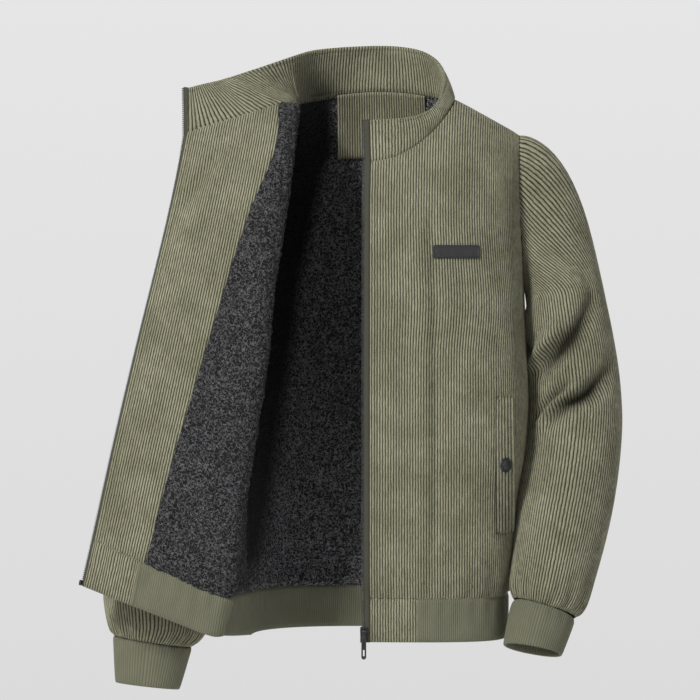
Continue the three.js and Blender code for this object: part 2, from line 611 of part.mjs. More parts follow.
// The foot lifts clear of the panels around the right neck point
const neckPoint = { at: 276, reach: 30, lift: 0.17 };
function collarGrid(columns = collarColumns) {
  const point = (at, v) => {
    const angle = THREE.MathUtils.clamp(at, 0, 360);
    const foot = collarSeam(angle).at;
    foot.x -= angle > 270 ? 0 : collarInset * Math.sin(angle * degrees);
    const head = readPoint(collarTop, 'at', angle);
    const near = Math.max(0, 1 - Math.abs(angle - neckPoint.at) / neckPoint.reach);
    return foot.addScaledVector(head.sub(foot), v + (1 - v) * near * neckPoint.lift);
  };
  const grid = gridOf(columns, steps(collarRows, collarStart, 1), point);
  grid.forEach((line, i) => {
    line[0].out = collarSeam(columns[i]).out;
  });
  return grid;
}

const colours = {
  corduroy: { color: 0x73715a, roughness: 0.95, metalness: 0 },
  rib: { color: 0x6b6c5a, roughness: 0.95, metalness: 0 },
  fleece: { color: 0x333333, roughness: 1, metalness: 0 },
  tape: { color: 0x2b2b2e, roughness: 0.8, metalness: 0 },
  metal: { color: 0x2c2c30, roughness: 0.35, metalness: 0.9 },
  patch: { color: 0x1d1d1f, roughness: 0.6, metalness: 0 },
};
const jacket = new THREE.Group();
function add(name, geometry, colour, position) {
  const mesh = new THREE.Mesh(geometry, new THREE.MeshStandardMaterial(colours[colour]));
  mesh.name = name;
  if (position) mesh.position.copy(position);
  jacket.add(mesh);
  return mesh;
}

// Corduroy panels
const backGrid = panelGrid('back', backColumns);
const frontGrid = panelGrid('front', frontColumns);
const rightGrid = openGrid(openColumns, openRows);
add('left_front', wall(gather(frontGrid), 0, corduroy), 'corduroy');
add('back', wall(gather(backGrid), 0, corduroy), 'corduroy');
add('right_front', wall(rightGrid, 0, corduroy), 'corduroy');
add('left_sleeve', wall(sleeveGrid(leftRings, leftSleeveFolds, 12), 0, corduroy, true), 'corduroy');
add('right_sleeve', wall(mirrored(sleeveGrid(rightRings, rightSleeveFolds, 9)), 0, corduroy, true), 'corduroy');

// Collar, in two layers, and the lining, facing and neck patch that the open front shows
add('collar_outer', wall(collarGrid(), 0, collarLayer), 'corduroy');
const innerCollar = collarLayer + 2 * seam;
add('collar_inner', wall(collarGrid(), innerCollar, innerCollar + collarLayer), 'corduroy');
const liningGrid = panelGrid('back', backColumns);
add('back_lining', wall(liningGrid, lined + backClear, innerFace), 'fleece');
const facingEdge = (share, gap) => openAcross(read(facingWidths, 'share', share, 'wide') + gap, share);
const liningColumns = [2 * sideGap, ...sideColumns.slice(1), ...foldColumns, 2.15, 2.4, 2.7, 3];
const liningEdge = (v) => facingEdge(v, seam);
const liningAcross = (u, v) => (u <= 2 ? u : 2 + (u - 2) * (liningEdge(v) - 2));
const liningRows = openRows.slice(0, -1);
add('right_lining', wall(openLayer(liningColumns, liningRows, liningAcross), lined, innerFace), 'fleece');
const facingAcross = (u, v) => facingEdge(v, 0) + (u / 3) * (3 - facingEdge(v, 0));
const facingGrid = openLayer([0, 0.2, 0.6, 1.2, 2, 3], openRows, facingAcross);
add('right_facing', wall(facingGrid, lined, lined + corduroy), 'corduroy');
const patchGrid = liningGrid
  .filter((_, i) => i >= patchColumns.from && i <= patchColumns.to)
  .map((line) => line.slice(-patchRows));
add('neck_patch', wall(patchGrid, innerFace + seam, innerFace + seam + corduroy), 'corduroy');

// Ribbed band with its corduroy tabs, and the cuffs
const leftLength = lengthOf(section('front', hemSeam));
const bandPoint = (panel) => (share, z) => bodyPoint(panel, THREE.MathUtils.clamp(share, 0, 1), z);
const bandHeights = [bandFoot, (bandFoot + hemSeam) / 2, hemSeam - seam];
const bandShares = [bandShare, bandShare / 2, -2 * shareGap];
const tabShare = tabWide / leftLength;
const openTab = openAcross(openTabWide, 0);
const bandOpen = (columns) => gridOf(columns, bandShares, (u, v) => openPoint(u, Math.max(v, bandShare)));
const ribGrid = [
  ...gridOf(steps(10, tabShare + seam / leftLength, 1), bandHeights, bandPoint('front')),
  ...gridOf(steps(22).slice(1), bandHeights, bandPoint('back')),
  ...bandOpen([...openColumns.filter((u) => u > 0 && u < openTab - tabClear), openTab - tabGap]),
];
const leftTab = gridOf(steps(4, 0, tabShare), bandHeights, bandPoint('front'));
add('hem_tab_left', wall(leftTab, bandInset, bandInner), 'corduroy');
add('hem_rib', wall(ribGrid, bandInset, bandInner), 'rib');
add('hem_tab_right', wall(bandOpen(steps(4, openTab, 3)), bandInset, bandInner), 'corduroy');
const cuffGrid = (rings) =>
  gridOf(
    steps(sleeveColumns).slice(0, sleeveColumns),
    steps(3, 0, 2),
    (share, v) => ringPoint(rings, 2 - v, share),
  );
add('left_cuff', wall(cuffGrid(leftCuffRings), 0, ribKnit, true), 'rib');
add('right_cuff', wall(mirrored(cuffGrid(rightCuffRings)), 0, ribKnit, true), 'rib');

// Pocket welts: strips that lie on the fronts and lift a little at the free edge over the opening
const onFront = (x, z) => new THREE.Vector3(x, frontY(x, z), z);
const leftWelt = gridOf(steps(3, welt.nearX, welt.farX), steps(8, welt.foot, welt.top), onFront);
const rightWelt = gridOf(steps(3), steps(8, openWelt.foot, openWelt.top), (u, v) =>
  openPoint(openAcross(openWelt.far + (openWelt.near - openWelt.far) * u, v), v));
const lifted = (stand, layer, far) => (across) => -(stand + layer + welt.lift * Math.abs(far - across));
add('left_welt', wall(leftWelt, lifted(weltStand, corduroy, 0), lifted(weltStand, 0, 0)), 'corduroy');
add('right_welt', wall(rightWelt, lifted(openWeltStand, corduroy, 1), lifted(openWeltStand, 0, 1)), 'corduroy');

// Snap buttons: domed caps that stand on the middle of each welt
function addSnap(name, grid, stand, clear) {
  const middle = Math.round((grid[0].length - 1) / 2);
  const [near, far] = [grid[1][middle], grid[2][middle]];
  const out = near.out.clone().add(far.out).normalize();
  const profile = [[0, 0], [snap.radius - 1.5, 0], [snap.radius, 0.6], [snap.radius, 1.6],
    [snap.radius - 2.5, snap.height], [0, snap.height]].map(([r, h]) => new THREE.Vector2(r, h));
  const cap = new THREE.LatheGeometry(profile, 14);
  cap.applyQuaternion(new THREE.Quaternion().setFromUnitVectors(new THREE.Vector3(0, 1, 0), out));
  const rise = stand + corduroy + welt.lift / 2 + clear;
  add(name, cap, 'metal', near.at.clone().lerp(far.at, 0.5).addScaledVector(out, rise));
}
addSnap('left_snap', leftWelt, weltStand, snapClear);
addSnap('right_snap', rightWelt, openWeltStand, openSnapClear);

// Badge on the left chest: a plain plate on the cloth
const badgeGrid = gridOf(steps(6, -badge.wide / 2, badge.wide / 2), steps(2, -badge.high / 2, badge.high / 2),
  (dx, dz) => onFront(badge.x + dx, badge.z + dz));
add('chest_badge', wall(badgeGrid, -badge.stand - badge.thick, -badge.stand), 'patch');

// Zip: a tape along each front edge, from the foot of the band to the top of the collar. The tapes turn
// a little towards the outer face, and carry the teeth as a bead along their free edge. A section of
// anything on a tape is an outline of distances out from the cloth's edge and across the tape
function edgeSpots(grids, column) {
  const spots = grids.flatMap((grid) => grid.at(column));
  return spots.filter((spot, j) => j === 0 || spot.at.distanceTo(spots[j - 1].at) > tape.step);
}
function alongTape(spots, side, outline) {
  const rings = spots.map(({ at, out }, j) => {
    const along = spots[Math.min(j + 1, spots.length - 1)].at.clone().sub(spots[Math.max(j - 1, 0)].at);
    const beyond = along.cross(out).multiplyScalar(side.sign).normalize();
    const turned = beyond.clone().multiplyScalar(Math.cos(side.turn)).addScaledVector(out, Math.sin(side.turn));
    const across = out.clone().multiplyScalar(Math.cos(side.turn)).addScaledVector(beyond, -Math.sin(side.turn));
    const start = at.clone().addScaledVector(out, -tape.depth).addScaledVector(beyond, side.gap);
    return outline.map(([away, thick]) =>
      start.clone().addScaledVector(turned, away).addScaledVector(across, -side.sign * thick));
  });
  return loft(rings, outline);
}
function spotsBetween(spots, from, to) {
  return [from, to].map((distance) => {
    const foot = spots[0].at;
    const along = spots[1].at.clone().sub(foot).normalize();
    return { at: foot.clone().addScaledVector(along, distance), out: spots[0].out };
  });
}

// A solid through a stack of copies of one outline, which is given anticlockwise
function loft(rings, outline) {
  const count = outline.length;
  const positions = rings.flat().flatMap((p) => p.toArray());
  const index = [];
  for (let j = 0; j < rings.length - 1; j += 1) {
    for (let i = 0; i < count; i += 1) {
      const [a, b] = [j * count + i, j * count + ((i + 1) % count)];
      index.push(a, b, b + count, a, b + count, a + count);
    }
  }
  const top = (rings.length - 1) * count;
  THREE.ShapeUtils.triangulateShape(outline.map(([x, y]) => new THREE.Vector2(x, y)), []).forEach(([a, b, c]) => {
    index.push(c, b, a, a + top, b + top, c + top);
  });
  const geometry = new THREE.BufferGeometry();
  geometry.setAttribute('position', new THREE.Float32BufferAttribute(positions, 3));
  geometry.setIndex(index);
  return geometry;
}
const toothEnd = tape.wide + tape.toothWide;
const tapeSection = [
  [0, -tape.thick / 2], [tape.wide, -tape.thick / 2], [tape.wide, -tape.toothThick / 2],
  [toothEnd, -tape.toothThick / 2], [toothEnd, tape.toothThick / 2],
  [tape.wide, tape.toothThick / 2], [tape.wide, tape.thick / 2], [0, tape.thick / 2],
];
const leftCollarEnd = [0, 10];
const rightCollarEnd = [350, 360];
const openBandEnd = [2.9, 3];
const leftSide = { sign: -1, turn: 0, gap: seam };
const rightSide = { sign: 1, turn: 50 * degrees, gap: seam + tape.thick / 2 };
const leftSpots = edgeSpots([leftTab, frontGrid, collarGrid(leftCollarEnd)], 0);
const rightSpots = edgeSpots([bandOpen(openBandEnd), rightGrid, collarGrid(rightCollarEnd)], -1);
add('zip_tape_left', alongTape(leftSpots, leftSide, tapeSection), 'tape');
add('zip_tape_right', alongTape(rightSpots, rightSide, tapeSection), 'tape');

// Stops and slider: clips that wrap the teeth and leave the tape free to pass between their lips
const clipInside = tape.toothThick / 2 + clip.clear;
const clipOutside = clipInside + clip.wall;
const clipStart = toothEnd + clip.clear - clip.reach;
const clipEnd = toothEnd + clip.clear + clip.wall;
const clipSection = (start) => [
  [start, clipInside], [toothEnd + clip.clear, clipInside], [toothEnd + clip.clear, -clipInside],
  [start, -clipInside], [start, -clipOutside], [clipEnd, -clipOutside], [clipEnd, clipOutside], [start, clipOutside],
];
add('zip_stop_left', alongTape(spotsBetween(leftSpots, 0, stopHigh), leftSide, clipSection(clipStart)), 'metal');
add('zip_stop_right', alongTape(spotsBetween(rightSpots, 0, stopHigh), rightSide, clipSection(clipStart)), 'metal');

// Booleans: a mesh as a solid, and a solid as a mesh
function solidOf(geometry, position = new THREE.Vector3()) {
  const bare = geometry.clone().translate(position.x, position.y, position.z);
  ['normal', 'uv'].forEach((name) => bare.deleteAttribute(name));
  const merged = mergeVertices(bare);
  return new wasm.Manifold(new wasm.Mesh({
    numProp: 3,
    vertProperties: new Float32Array(merged.attributes.position.array),
    triVerts: new Uint32Array(merged.index.array),
  }));
}
function geometryOf(solid) {
  const mesh = solid.getMesh();
  const geometry = new THREE.BufferGeometry();
  geometry.setAttribute('position', new THREE.BufferAttribute(mesh.vertProperties, 3));
  geometry.setIndex(new THREE.BufferAttribute(mesh.triVerts, 1));
  return geometry;
}

// The slider carries two lugs and a pin in front, on which the pull's knuckle hangs
const sliderStart = clipEnd - pull.wide - 2 * (slider.lugWide + clip.clear);
const sliderX = leftSpots[0].at.x - seam - (sliderStart + clipEnd) / 2;
const sliderFront = leftSpots[0].at.y + tape.depth - clipOutside;
const pinZ = leftSpots[0].at.z + slider.above + slider.high * 0.6;
const pinAt = new THREE.Vector3(sliderX, sliderFront - pull.ahead, pinZ);
const sliderBody = solidOf(alongTape(
  spotsBetween(leftSpots, slider.above, slider.above + slider.high), leftSide, clipSection(sliderStart)));
const lugAway = pull.wide / 2 + clip.clear + slider.lugWide / 2;
const pinLong = 2 * lugAway;
const lug = (side) => {
  const bar = new THREE.BoxGeometry(slider.lugWide, slider.lugLong + 1, slider.lugLong);
  return solidOf(bar, new THREE.Vector3(sliderX + side * lugAway, sliderFront - (slider.lugLong - 1) / 2, pinZ));
};
const alongX = (radius, long) => new THREE.CylinderGeometry(radius, radius, long, 12).rotateZ(90 * degrees);
const sliderSolid = [lug(-1), lug(1), solidOf(alongX(pull.pin, pinLong), pinAt)]
  .reduce((sum, piece) => sum.add(piece), sliderBody);
add('zip_slider', geometryOf(sliderSolid), 'metal');

// The pull hangs straight down from the pin: a knuckle and a flat tab with a slot near its foot
function pullTab() {
  const half = pull.wide / 2;
  const outline = new THREE.Shape();
  outline.moveTo(-half, -pull.knuckle / 2);
  outline.lineTo(-half, half - pull.long);
  outline.absarc(0, half - pull.long, half, 180 * degrees, 360 * degrees);
  outline.lineTo(half, -pull.knuckle / 2);
  const slot = new THREE.Path();
  const [foot, round] = [pullSlot.foot - pull.long + pullSlot.wide / 2, pullSlot.wide / 2];
  slot.absarc(0, foot, round, 180 * degrees, 360 * degrees);
  slot.absarc(0, foot + pullSlot.high - pullSlot.wide, round, 0, 180 * degrees);
  outline.holes.push(slot);
  return new THREE.ExtrudeGeometry(outline, { depth: pull.thick, bevelEnabled: false, curveSegments: 5 })
    .translate(0, 0, -pull.thick / 2)
    .rotateX(90 * degrees);
}
const knuckle = solidOf(alongX(pull.knuckle, pull.wide));
const eye = solidOf(alongX(pull.eye, pull.wide + 1));
add('zip_pull', geometryOf(knuckle.add(solidOf(pullTab())).subtract(eye)), 'metal', pinAt);

export default jacket;
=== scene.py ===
import math
import bpy
import bmesh
import numpy as np
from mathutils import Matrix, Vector
from mathutils.kdtree import KDTree


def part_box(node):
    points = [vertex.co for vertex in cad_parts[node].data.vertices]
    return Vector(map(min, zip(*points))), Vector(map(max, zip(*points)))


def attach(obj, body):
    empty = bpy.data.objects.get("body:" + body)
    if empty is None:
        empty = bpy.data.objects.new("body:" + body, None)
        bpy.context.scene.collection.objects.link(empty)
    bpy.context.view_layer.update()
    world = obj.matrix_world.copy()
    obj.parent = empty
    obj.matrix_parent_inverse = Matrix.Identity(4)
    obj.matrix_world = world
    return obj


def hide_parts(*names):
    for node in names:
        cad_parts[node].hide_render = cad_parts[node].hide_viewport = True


# Corduroy jacket with a fleece lining, a ribbed hem and cuffs, and its right front turned open.
# Measures are in millimetres until a mesh is made, in the frame of the solids.
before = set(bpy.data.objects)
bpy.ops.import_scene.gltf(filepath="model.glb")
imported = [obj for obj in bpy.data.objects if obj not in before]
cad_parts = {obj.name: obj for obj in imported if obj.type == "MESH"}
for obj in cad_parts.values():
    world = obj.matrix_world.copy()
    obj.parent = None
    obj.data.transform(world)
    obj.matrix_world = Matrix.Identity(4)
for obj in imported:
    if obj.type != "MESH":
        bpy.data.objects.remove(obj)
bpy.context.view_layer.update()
scene = bpy.context.scene
print("frame loaded")

# Camera, light and floor
view = {"azimuth": 4, "middle": (0.2465, -3.9925, -0.320), "lens": 160.71, "sensor": 36}
camera = bpy.data.objects.new("camera", bpy.data.cameras.new("camera"))
camera.data.lens = view["lens"]
camera.data.sensor_width = view["sensor"]
camera.location = view["middle"]
camera.rotation_euler = (math.radians(90), 0, math.radians(view["azimuth"]))
scene.collection.objects.link(camera)
scene.camera = camera
scene.view_settings.view_transform = "Standard"

lamps = [  # name, place, aim, size, watts, tint
    ("key", (-1.5, -2.6, 1.5), (0, 0, -0.3), 0.6, 118, (1, 0.985, 0.95)),
    ("fill", (2.4, -2.8, 0.2), (0, 0, -0.35), 2.4, 13, (0.95, 0.98, 1)),
    ("backLeft", (2.2, 2.6, 1.0), (0, 0, -0.3), 1.6, 42, (1, 1, 1)),
    ("backRight", (-2.4, 2.4, 0.8), (0, 0, -0.3), 1.6, 42, (1, 1, 1)),
]
for name, place, aim, size, watts, tint in lamps:
    lamp = bpy.data.objects.new(name, bpy.data.lights.new(name, "AREA"))
    lamp.data.size = size
    lamp.data.energy = watts
    lamp.data.color = tint
    lamp.location = place
    lamp.rotation_euler = (Vector(aim) - Vector(place)).to_track_quat("-Z", "Y").to_euler()
    scene.collection.objects.link(lamp)

backdrop = {"top": 0.79, "foot": 0.71, "ambient": 0.36}
world = bpy.data.worlds.new("studio")
scene.world = world
world.use_nodes = True
sky = world.node_tree
sky.nodes.clear()
skyOut = sky.nodes.new("ShaderNodeOutputWorld")
skyMix = sky.nodes.new("ShaderNodeMixShader")
skySeen = sky.nodes.new("ShaderNodeBackground")
skyGlow = sky.nodes.new("ShaderNodeBackground")
skyRay = sky.nodes.new("ShaderNodeLightPath")
skyAt = sky.nodes.new("ShaderNodeTexCoord")
skySplit = sky.nodes.new("ShaderNodeSeparateXYZ")
skyRamp = sky.nodes.new("ShaderNodeMapRange")
skyTint = sky.nodes.new("ShaderNodeCombineColor")
skyRamp.inputs["From Min"].default_value = -0.11
skyRamp.inputs["From Max"].default_value = 0.11
skyRamp.inputs["To Min"].default_value = backdrop["foot"]
skyRamp.inputs["To Max"].default_value = backdrop["top"]
skyGlow.inputs["Color"].default_value = (0.97, 0.98, 1, 1)
skyGlow.inputs["Strength"].default_value = backdrop["ambient"]
sky.links.new(skyAt.outputs["Generated"], skySplit.inputs[0])
sky.links.new(skySplit.outputs["Z"], skyRamp.inputs["Value"])
for channel in ("Red", "Green", "Blue"):
    sky.links.new(skyRamp.outputs[0], skyTint.inputs[channel])
sky.links.new(skyTint.outputs[0], skySeen.inputs["Color"])
sky.links.new(skyRay.outputs["Is Camera Ray"], skyMix.inputs[0])
sky.links.new(skyGlow.outputs[0], skyMix.inputs[1])
sky.links.new(skySeen.outputs[0], skyMix.inputs[2])
sky.links.new(skyMix.outputs[0], skyOut.inputs["Surface"])


# Shader sockets that take one fixed value
plainSockets = {
    "sheenWeight": "Sheen Weight", "sheenRoughness": "Sheen Roughness", "sheenTint": "Sheen Tint",
    "specularIORLevel": "Specular IOR Level", "metallic": "Metallic",
}


# Shader maths as plain expressions
class Wire:
    def __init__(self, finish, socket):
        self.finish = finish
        self.socket = socket

    def join(self, operation, *others):
        return self.finish.node("ShaderNodeMath", {"operation": operation}, dict(enumerate((self, *others))))

    def __add__(self, other):
        return self.join("ADD", other)

    def __sub__(self, other):
        return self.join("SUBTRACT", other)

    def __mul__(self, other):
        return self.join("MULTIPLY", other)

    def __truediv__(self, other):
        return self.join("DIVIDE", other)

    def __pow__(self, other):
        return self.join("POWER", other)

    def __rsub__(self, other):
        return (self * -1) + other

    __radd__ = __add__
    __rmul__ = __mul__


class Finish:
    def __init__(self, name):
        self.material = bpy.data.materials.new(name)
        self.material.use_nodes = True
        self.tree = self.material.node_tree
        self.tree.nodes.clear()

    def node(self, kind, settings=None, sockets=None, out=0):
        made = self.tree.nodes.new(kind)
        for key, value in (settings or {}).items():
            if key == "stops":
                ramp = made.color_ramp.elements
                while len(ramp) < len(value):
                    ramp.new(0.5)
                for stop, (at, colour) in zip(ramp, value):
                    stop.position = at
                    stop.color = (*colour, 1)
            else:
                setattr(made, key, value)
        for key, value in (sockets or {}).items():
            if isinstance(value, Wire):
                self.tree.links.new(value.socket, made.inputs[key])
            else:
                made.inputs[key].default_value = value
        return Wire(self, made.outputs[out])

    def blend(self, factor, first, second, kind="MIX"):
        first = first if isinstance(first, Wire) else (*first, 1)
        second = second if isinstance(second, Wire) else (*second, 1)
        settings = {"data_type": "RGBA", "blend_type": kind}
        return self.node("ShaderNodeMix", settings, {0: factor, 6: first, 7: second}, 2)

    def clamp(self, value, low, high, toLow=0.0, toHigh=1.0):
        sockets = {"Value": value, "From Min": low, "From Max": high, "To Min": toLow, "To Max": toHigh}
        return self.node("ShaderNodeMapRange", {"clamp": True}, sockets)

    def noise(self, at, scale, detail=3.0, rough=0.55):
        return self.node("ShaderNodeTexNoise", {},
                         {"Vector": at, "Scale": scale, "Detail": detail, "Roughness": rough})

    def finishWith(self, colour, rough, bump=None, strength=0.6, depth=0.0004, **fixed):
        shader = self.tree.nodes.new("ShaderNodeBsdfPrincipled")
        for key, value in fixed.items():
            shader.inputs[plainSockets[key]].default_value = value
        sockets = {"Base Color": colour, "Roughness": rough}
        if bump is not None:
            sockets["Normal"] = self.node("ShaderNodeBump", {},
                                          {"Strength": strength, "Distance": depth, "Height": bump})
        for key, value in sockets.items():
            if isinstance(value, Wire):
                self.tree.links.new(value.socket, shader.inputs[key])
            else:
                shader.inputs[key].default_value = value
        output = self.tree.nodes.new("ShaderNodeOutputMaterial")
        self.tree.links.new(shader.outputs[0], output.inputs[0])
        return self.material


# Corduroy: pale crests and valleys darkened with painted shade, following the cloth, with a brushed, slightly patchy
# pile
def corduroyFinish(name, pitch):
    cloth = Finish(name)
    at = cloth.node("ShaderNodeUVMap", {"uv_map": "cloth"})
    across = cloth.node("ShaderNodeSeparateXYZ", {}, {0: at}, 0)
    along = cloth.node("ShaderNodeSeparateXYZ", {}, {0: at}, 1)
    place = cloth.node("ShaderNodeTexCoord", {}, {}, 3)
    wander = cloth.noise(place, 150, 3) - 0.5
    turn = (across * (1000 / pitch) + wander * 0.42).join("FRACT")
    crest = 1 - (turn * 2 - 1).join("ABSOLUTE") ** 2.4
    pileAt = cloth.node("ShaderNodeCombineXYZ", {}, {0: across * 2600, 1: along * 620, 2: 0.0})
    pile = cloth.noise(pileAt, 1, 3, 0.7)
    streakAt = cloth.node("ShaderNodeCombineXYZ", {}, {0: across * 520, 1: along * 95, 2: 0.0})
    streak = cloth.noise(streakAt, 1, 3, 0.65)
    tuft = cloth.noise(place, 900, 2, 0.6)
    patches = cloth.noise(place, 22, 3, 0.6)
    light = cloth.blend(cloth.clamp(patches, 0.35, 0.68), (0.205, 0.200, 0.136), (0.290, 0.284, 0.207))
    streaks = cloth.blend(cloth.clamp(streak, 0.3, 0.72), (0.66, 0.66, 0.62), (1.3, 1.3, 1.3))
    light = cloth.blend(0.9, light, streaks, "MULTIPLY")
    # the near-black valley colour is painted shade in the grooves between the wales
    body = cloth.blend(cloth.clamp(crest, 0.25, 0.92), (0.017, 0.0165, 0.010), light)
    flecked = cloth.blend(cloth.clamp(pile, 0.32, 0.72), (0.62, 0.62, 0.60), (1.28, 1.28, 1.26))
    colour = cloth.blend(0.85, body, flecked, "MULTIPLY")
    # paler flecks on the tops of the wales
    mottled = cloth.blend(cloth.clamp(tuft * crest, 0.42, 0.7, 0, 0.4), colour, (0.44, 0.435, 0.34))
    # painted shade: the colour goes near-black where the shade attribute marks deep folds and shadowed spots
    hollow = cloth.node("ShaderNodeAttribute", {"attribute_name": "shade"}, {}, 2)
    shown = cloth.blend(cloth.clamp(hollow, 0, 1, 0, 0.93), mottled, (0.006, 0.006, 0.004))
    height = crest * 0.75 + pile * 0.3 + tuft * 0.12
    return cloth.finishWith(shown, 0.93, height, 0.8, 0.0008, sheenWeight=0.16, sheenRoughness=0.5,
                            sheenTint=(0.80, 0.79, 0.62, 1), specularIORLevel=0.12)


def ribFinish(name, pitch):
    knit = Finish(name)
    at = knit.node("ShaderNodeUVMap", {"uv_map": "cloth"})
    across = knit.node("ShaderNodeSeparateXYZ", {}, {0: at}, 0)
    along = knit.node("ShaderNodeSeparateXYZ", {}, {0: at}, 1)
    place = knit.node("ShaderNodeTexCoord", {}, {}, 3)
    turn = (across * (1000 / pitch)).join("FRACT")
    rib = 1 - (turn * 2 - 1).join("ABSOLUTE") ** 2.2
    loops = ((along * 5200 + rib * 1.6).join("SINE") * 0.5 + 0.5) * rib
    fuzz = knit.noise(place, 1300, 2, 0.6)
    patches = knit.noise(place, 30, 2)
    pale = knit.blend(knit.clamp(patches, 0.3, 0.7), (0.118, 0.120, 0.080), (0.150, 0.152, 0.106))
    # the darker valley colour is painted shade between the ribs
    body = knit.blend(knit.clamp(rib, 0.1, 0.9), (0.078, 0.079, 0.052), pale)
    colour = knit.blend(knit.clamp(fuzz + loops * 0.25, 0.4, 0.85, 0, 0.5), body, (0.20, 0.20, 0.145))
    height = rib * 0.6 + loops * 0.35 + fuzz * 0.25
    return knit.finishWith(colour, 0.9, height, 0.6, 0.0005, sheenWeight=0.12, sheenRoughness=0.5,
                           sheenTint=(0.7, 0.7, 0.55, 1), specularIORLevel=0.15)


def fleeceFinish(name, paintedBrightness):
    pile = Finish(name)
    place = pile.node("ShaderNodeTexCoord", {}, {}, 3)
    bent = pile.node("ShaderNodeVectorMath", {"operation": "ADD"}, {
        0: place, 1: pile.node("ShaderNodeVectorMath", {"operation": "SCALE"}, {
            0: pile.node("ShaderNodeTexNoise", {}, {"Vector": place, "Scale": 230.0, "Detail": 2.0}, 1), 3: 0.006})})
    worm = pile.noise(bent, 270, 1, 0.4)
    curl = 1 - (worm - 0.5).join("ABSOLUTE") * 9
    fine = pile.noise(place, 1500, 3, 0.7)
    broad = pile.noise(place, 60, 2)
    knob = pile.clamp(curl, 0.0, 0.85)
    # the dark between the curls is painted shade, and the pale tips below are a painted highlight
    deep = (0.011 * paintedBrightness, 0.011 * paintedBrightness, 0.012 * paintedBrightness)
    body = pile.blend(knob, deep, (0.085 * paintedBrightness, 0.085 * paintedBrightness, 0.090 * paintedBrightness))
    lit = pile.blend(pile.clamp(fine * knob, 0.3, 0.62, 0, 0.7), body, (0.20 * paintedBrightness, 0.20 * paintedBrightness, 0.21 * paintedBrightness))
    mottled = pile.blend(pile.clamp(broad, 0.3, 0.7, 0.0, 0.3), lit, (0.03, 0.03, 0.032))
    # painted shade: near-black where the shade attribute marks shadowed spots
    hollow = pile.node("ShaderNodeAttribute", {"attribute_name": "shade"}, {}, 2)
    colour = pile.blend(pile.clamp(hollow, 0, 1, 0, 0.96), mottled, (0.003, 0.003, 0.003))
    return pile.finishWith(colour, 0.96, knob * 0.8 + fine * 0.35, 0.9, 0.0018, sheenWeight=0.1,
                           sheenRoughness=0.55, sheenTint=(0.5, 0.5, 0.52, 1), specularIORLevel=0.1)


def tapeFinish(name):
    twill = Finish(name)
    at = twill.node("ShaderNodeUVMap", {"uv_map": "cloth"})
    across = twill.node("ShaderNodeSeparateXYZ", {}, {0: at}, 0)
    along = twill.node("ShaderNodeSeparateXYZ", {}, {0: at}, 1)
    weave = ((across + along) * 5200).join("SINE") * 0.5 + 0.5
    grain = twill.noise(twill.node("ShaderNodeTexCoord", {}, {}, 3), 1200, 2)
    mottled = twill.clamp(weave * 0.7 + grain * 0.4, 0.2, 0.9)
    colour = twill.blend(mottled, (0.030, 0.030, 0.022), (0.085, 0.084, 0.062))
    return twill.finishWith(colour, 0.85, weave, 0.5, 0.0002, specularIORLevel=0.2)


def hardFinish(name, dark, pale, metal, rough, scratch):
    plate = Finish(name)
    place = plate.node("ShaderNodeTexCoord", {}, {}, 3)
    stretched = plate.node("ShaderNodeVectorMath", {"operation": "MULTIPLY"}, {0: place, 1: (1, 1, 0.15)})
    lines = plate.noise(stretched, scratch, 4, 0.7)
    smudge = plate.noise(place, 180, 3)
    colour = plate.blend(plate.clamp(lines, 0.35, 0.75, 0, 0.8), dark, pale)
    return plate.finishWith(colour, plate.clamp(lines * 0.5 + smudge * 0.5, 0.3, 0.7, rough - 0.08, rough + 0.14),
                            lines, 0.15, 0.00008, metallic=metal, specularIORLevel=0.5)


def threadFinish(name):
    thread = Finish(name)
    twist = thread.noise(thread.node("ShaderNodeTexCoord", {}, {}, 3), 2200, 2)
    colour = thread.blend(thread.clamp(twist, 0.35, 0.65), (0.10, 0.098, 0.060), (0.25, 0.245, 0.165))
    return thread.finishWith(colour, 0.8, twist, 0.4, 0.0001, sheenWeight=0.1)


wale = {"pitch": 3.4, "height": 0.75, "steps": 4}
wideWale = {"pitch": 4.0, "height": 0.85, "steps": 4}
ribbing = {"pitch": 2.7, "height": 0.55, "steps": 4}
finishes = {
    "corduroy": corduroyFinish("corduroy", wale["pitch"]),
    "wideCorduroy": corduroyFinish("wide corduroy", wideWale["pitch"]),
    "rib": ribFinish("rib knit", ribbing["pitch"]),
    # the two fleeces are one cloth painted at two brightnesses; the back lining's copy is painted lighter in place of
    # the light that does not reach it
    "fleece": fleeceFinish("curly fleece", 0.86),
    "backFleecePaintedLighter": fleeceFinish("curly fleece inside the back, painted lighter", 1.9),
    "tape": tapeFinish("zip tape"),
    "teeth": hardFinish("zip teeth", (0.05, 0.05, 0.053), (0.24, 0.24, 0.25), 0.7, 0.28, 900),
    "metal": hardFinish("dark plated metal", (0.030, 0.030, 0.032), (0.11, 0.11, 0.115), 0.85, 0.34, 500),
    "patch": hardFinish("black badge", (0.010, 0.010, 0.011), (0.035, 0.035, 0.038), 0.0, 0.42, 420),
    "thread": threadFinish("olive thread"),
}
floorFinish = Finish("pale floor")
floorGrain = floorFinish.noise(floorFinish.node("ShaderNodeTexCoord", {}, {}, 3), 3, 3)
floorFinish.finishWith(floorFinish.blend(floorGrain, (0.74, 0.745, 0.745), (0.77, 0.77, 0.77)), 0.8)
bpy.ops.mesh.primitive_circle_add(vertices=96, radius=2.2, fill_type="NGON", location=(0, 0, -1.1))
floor = bpy.context.object
floor.name = "floor"
floor.data.materials.append(floorFinish.material)
print("light, floor and finishes ready")

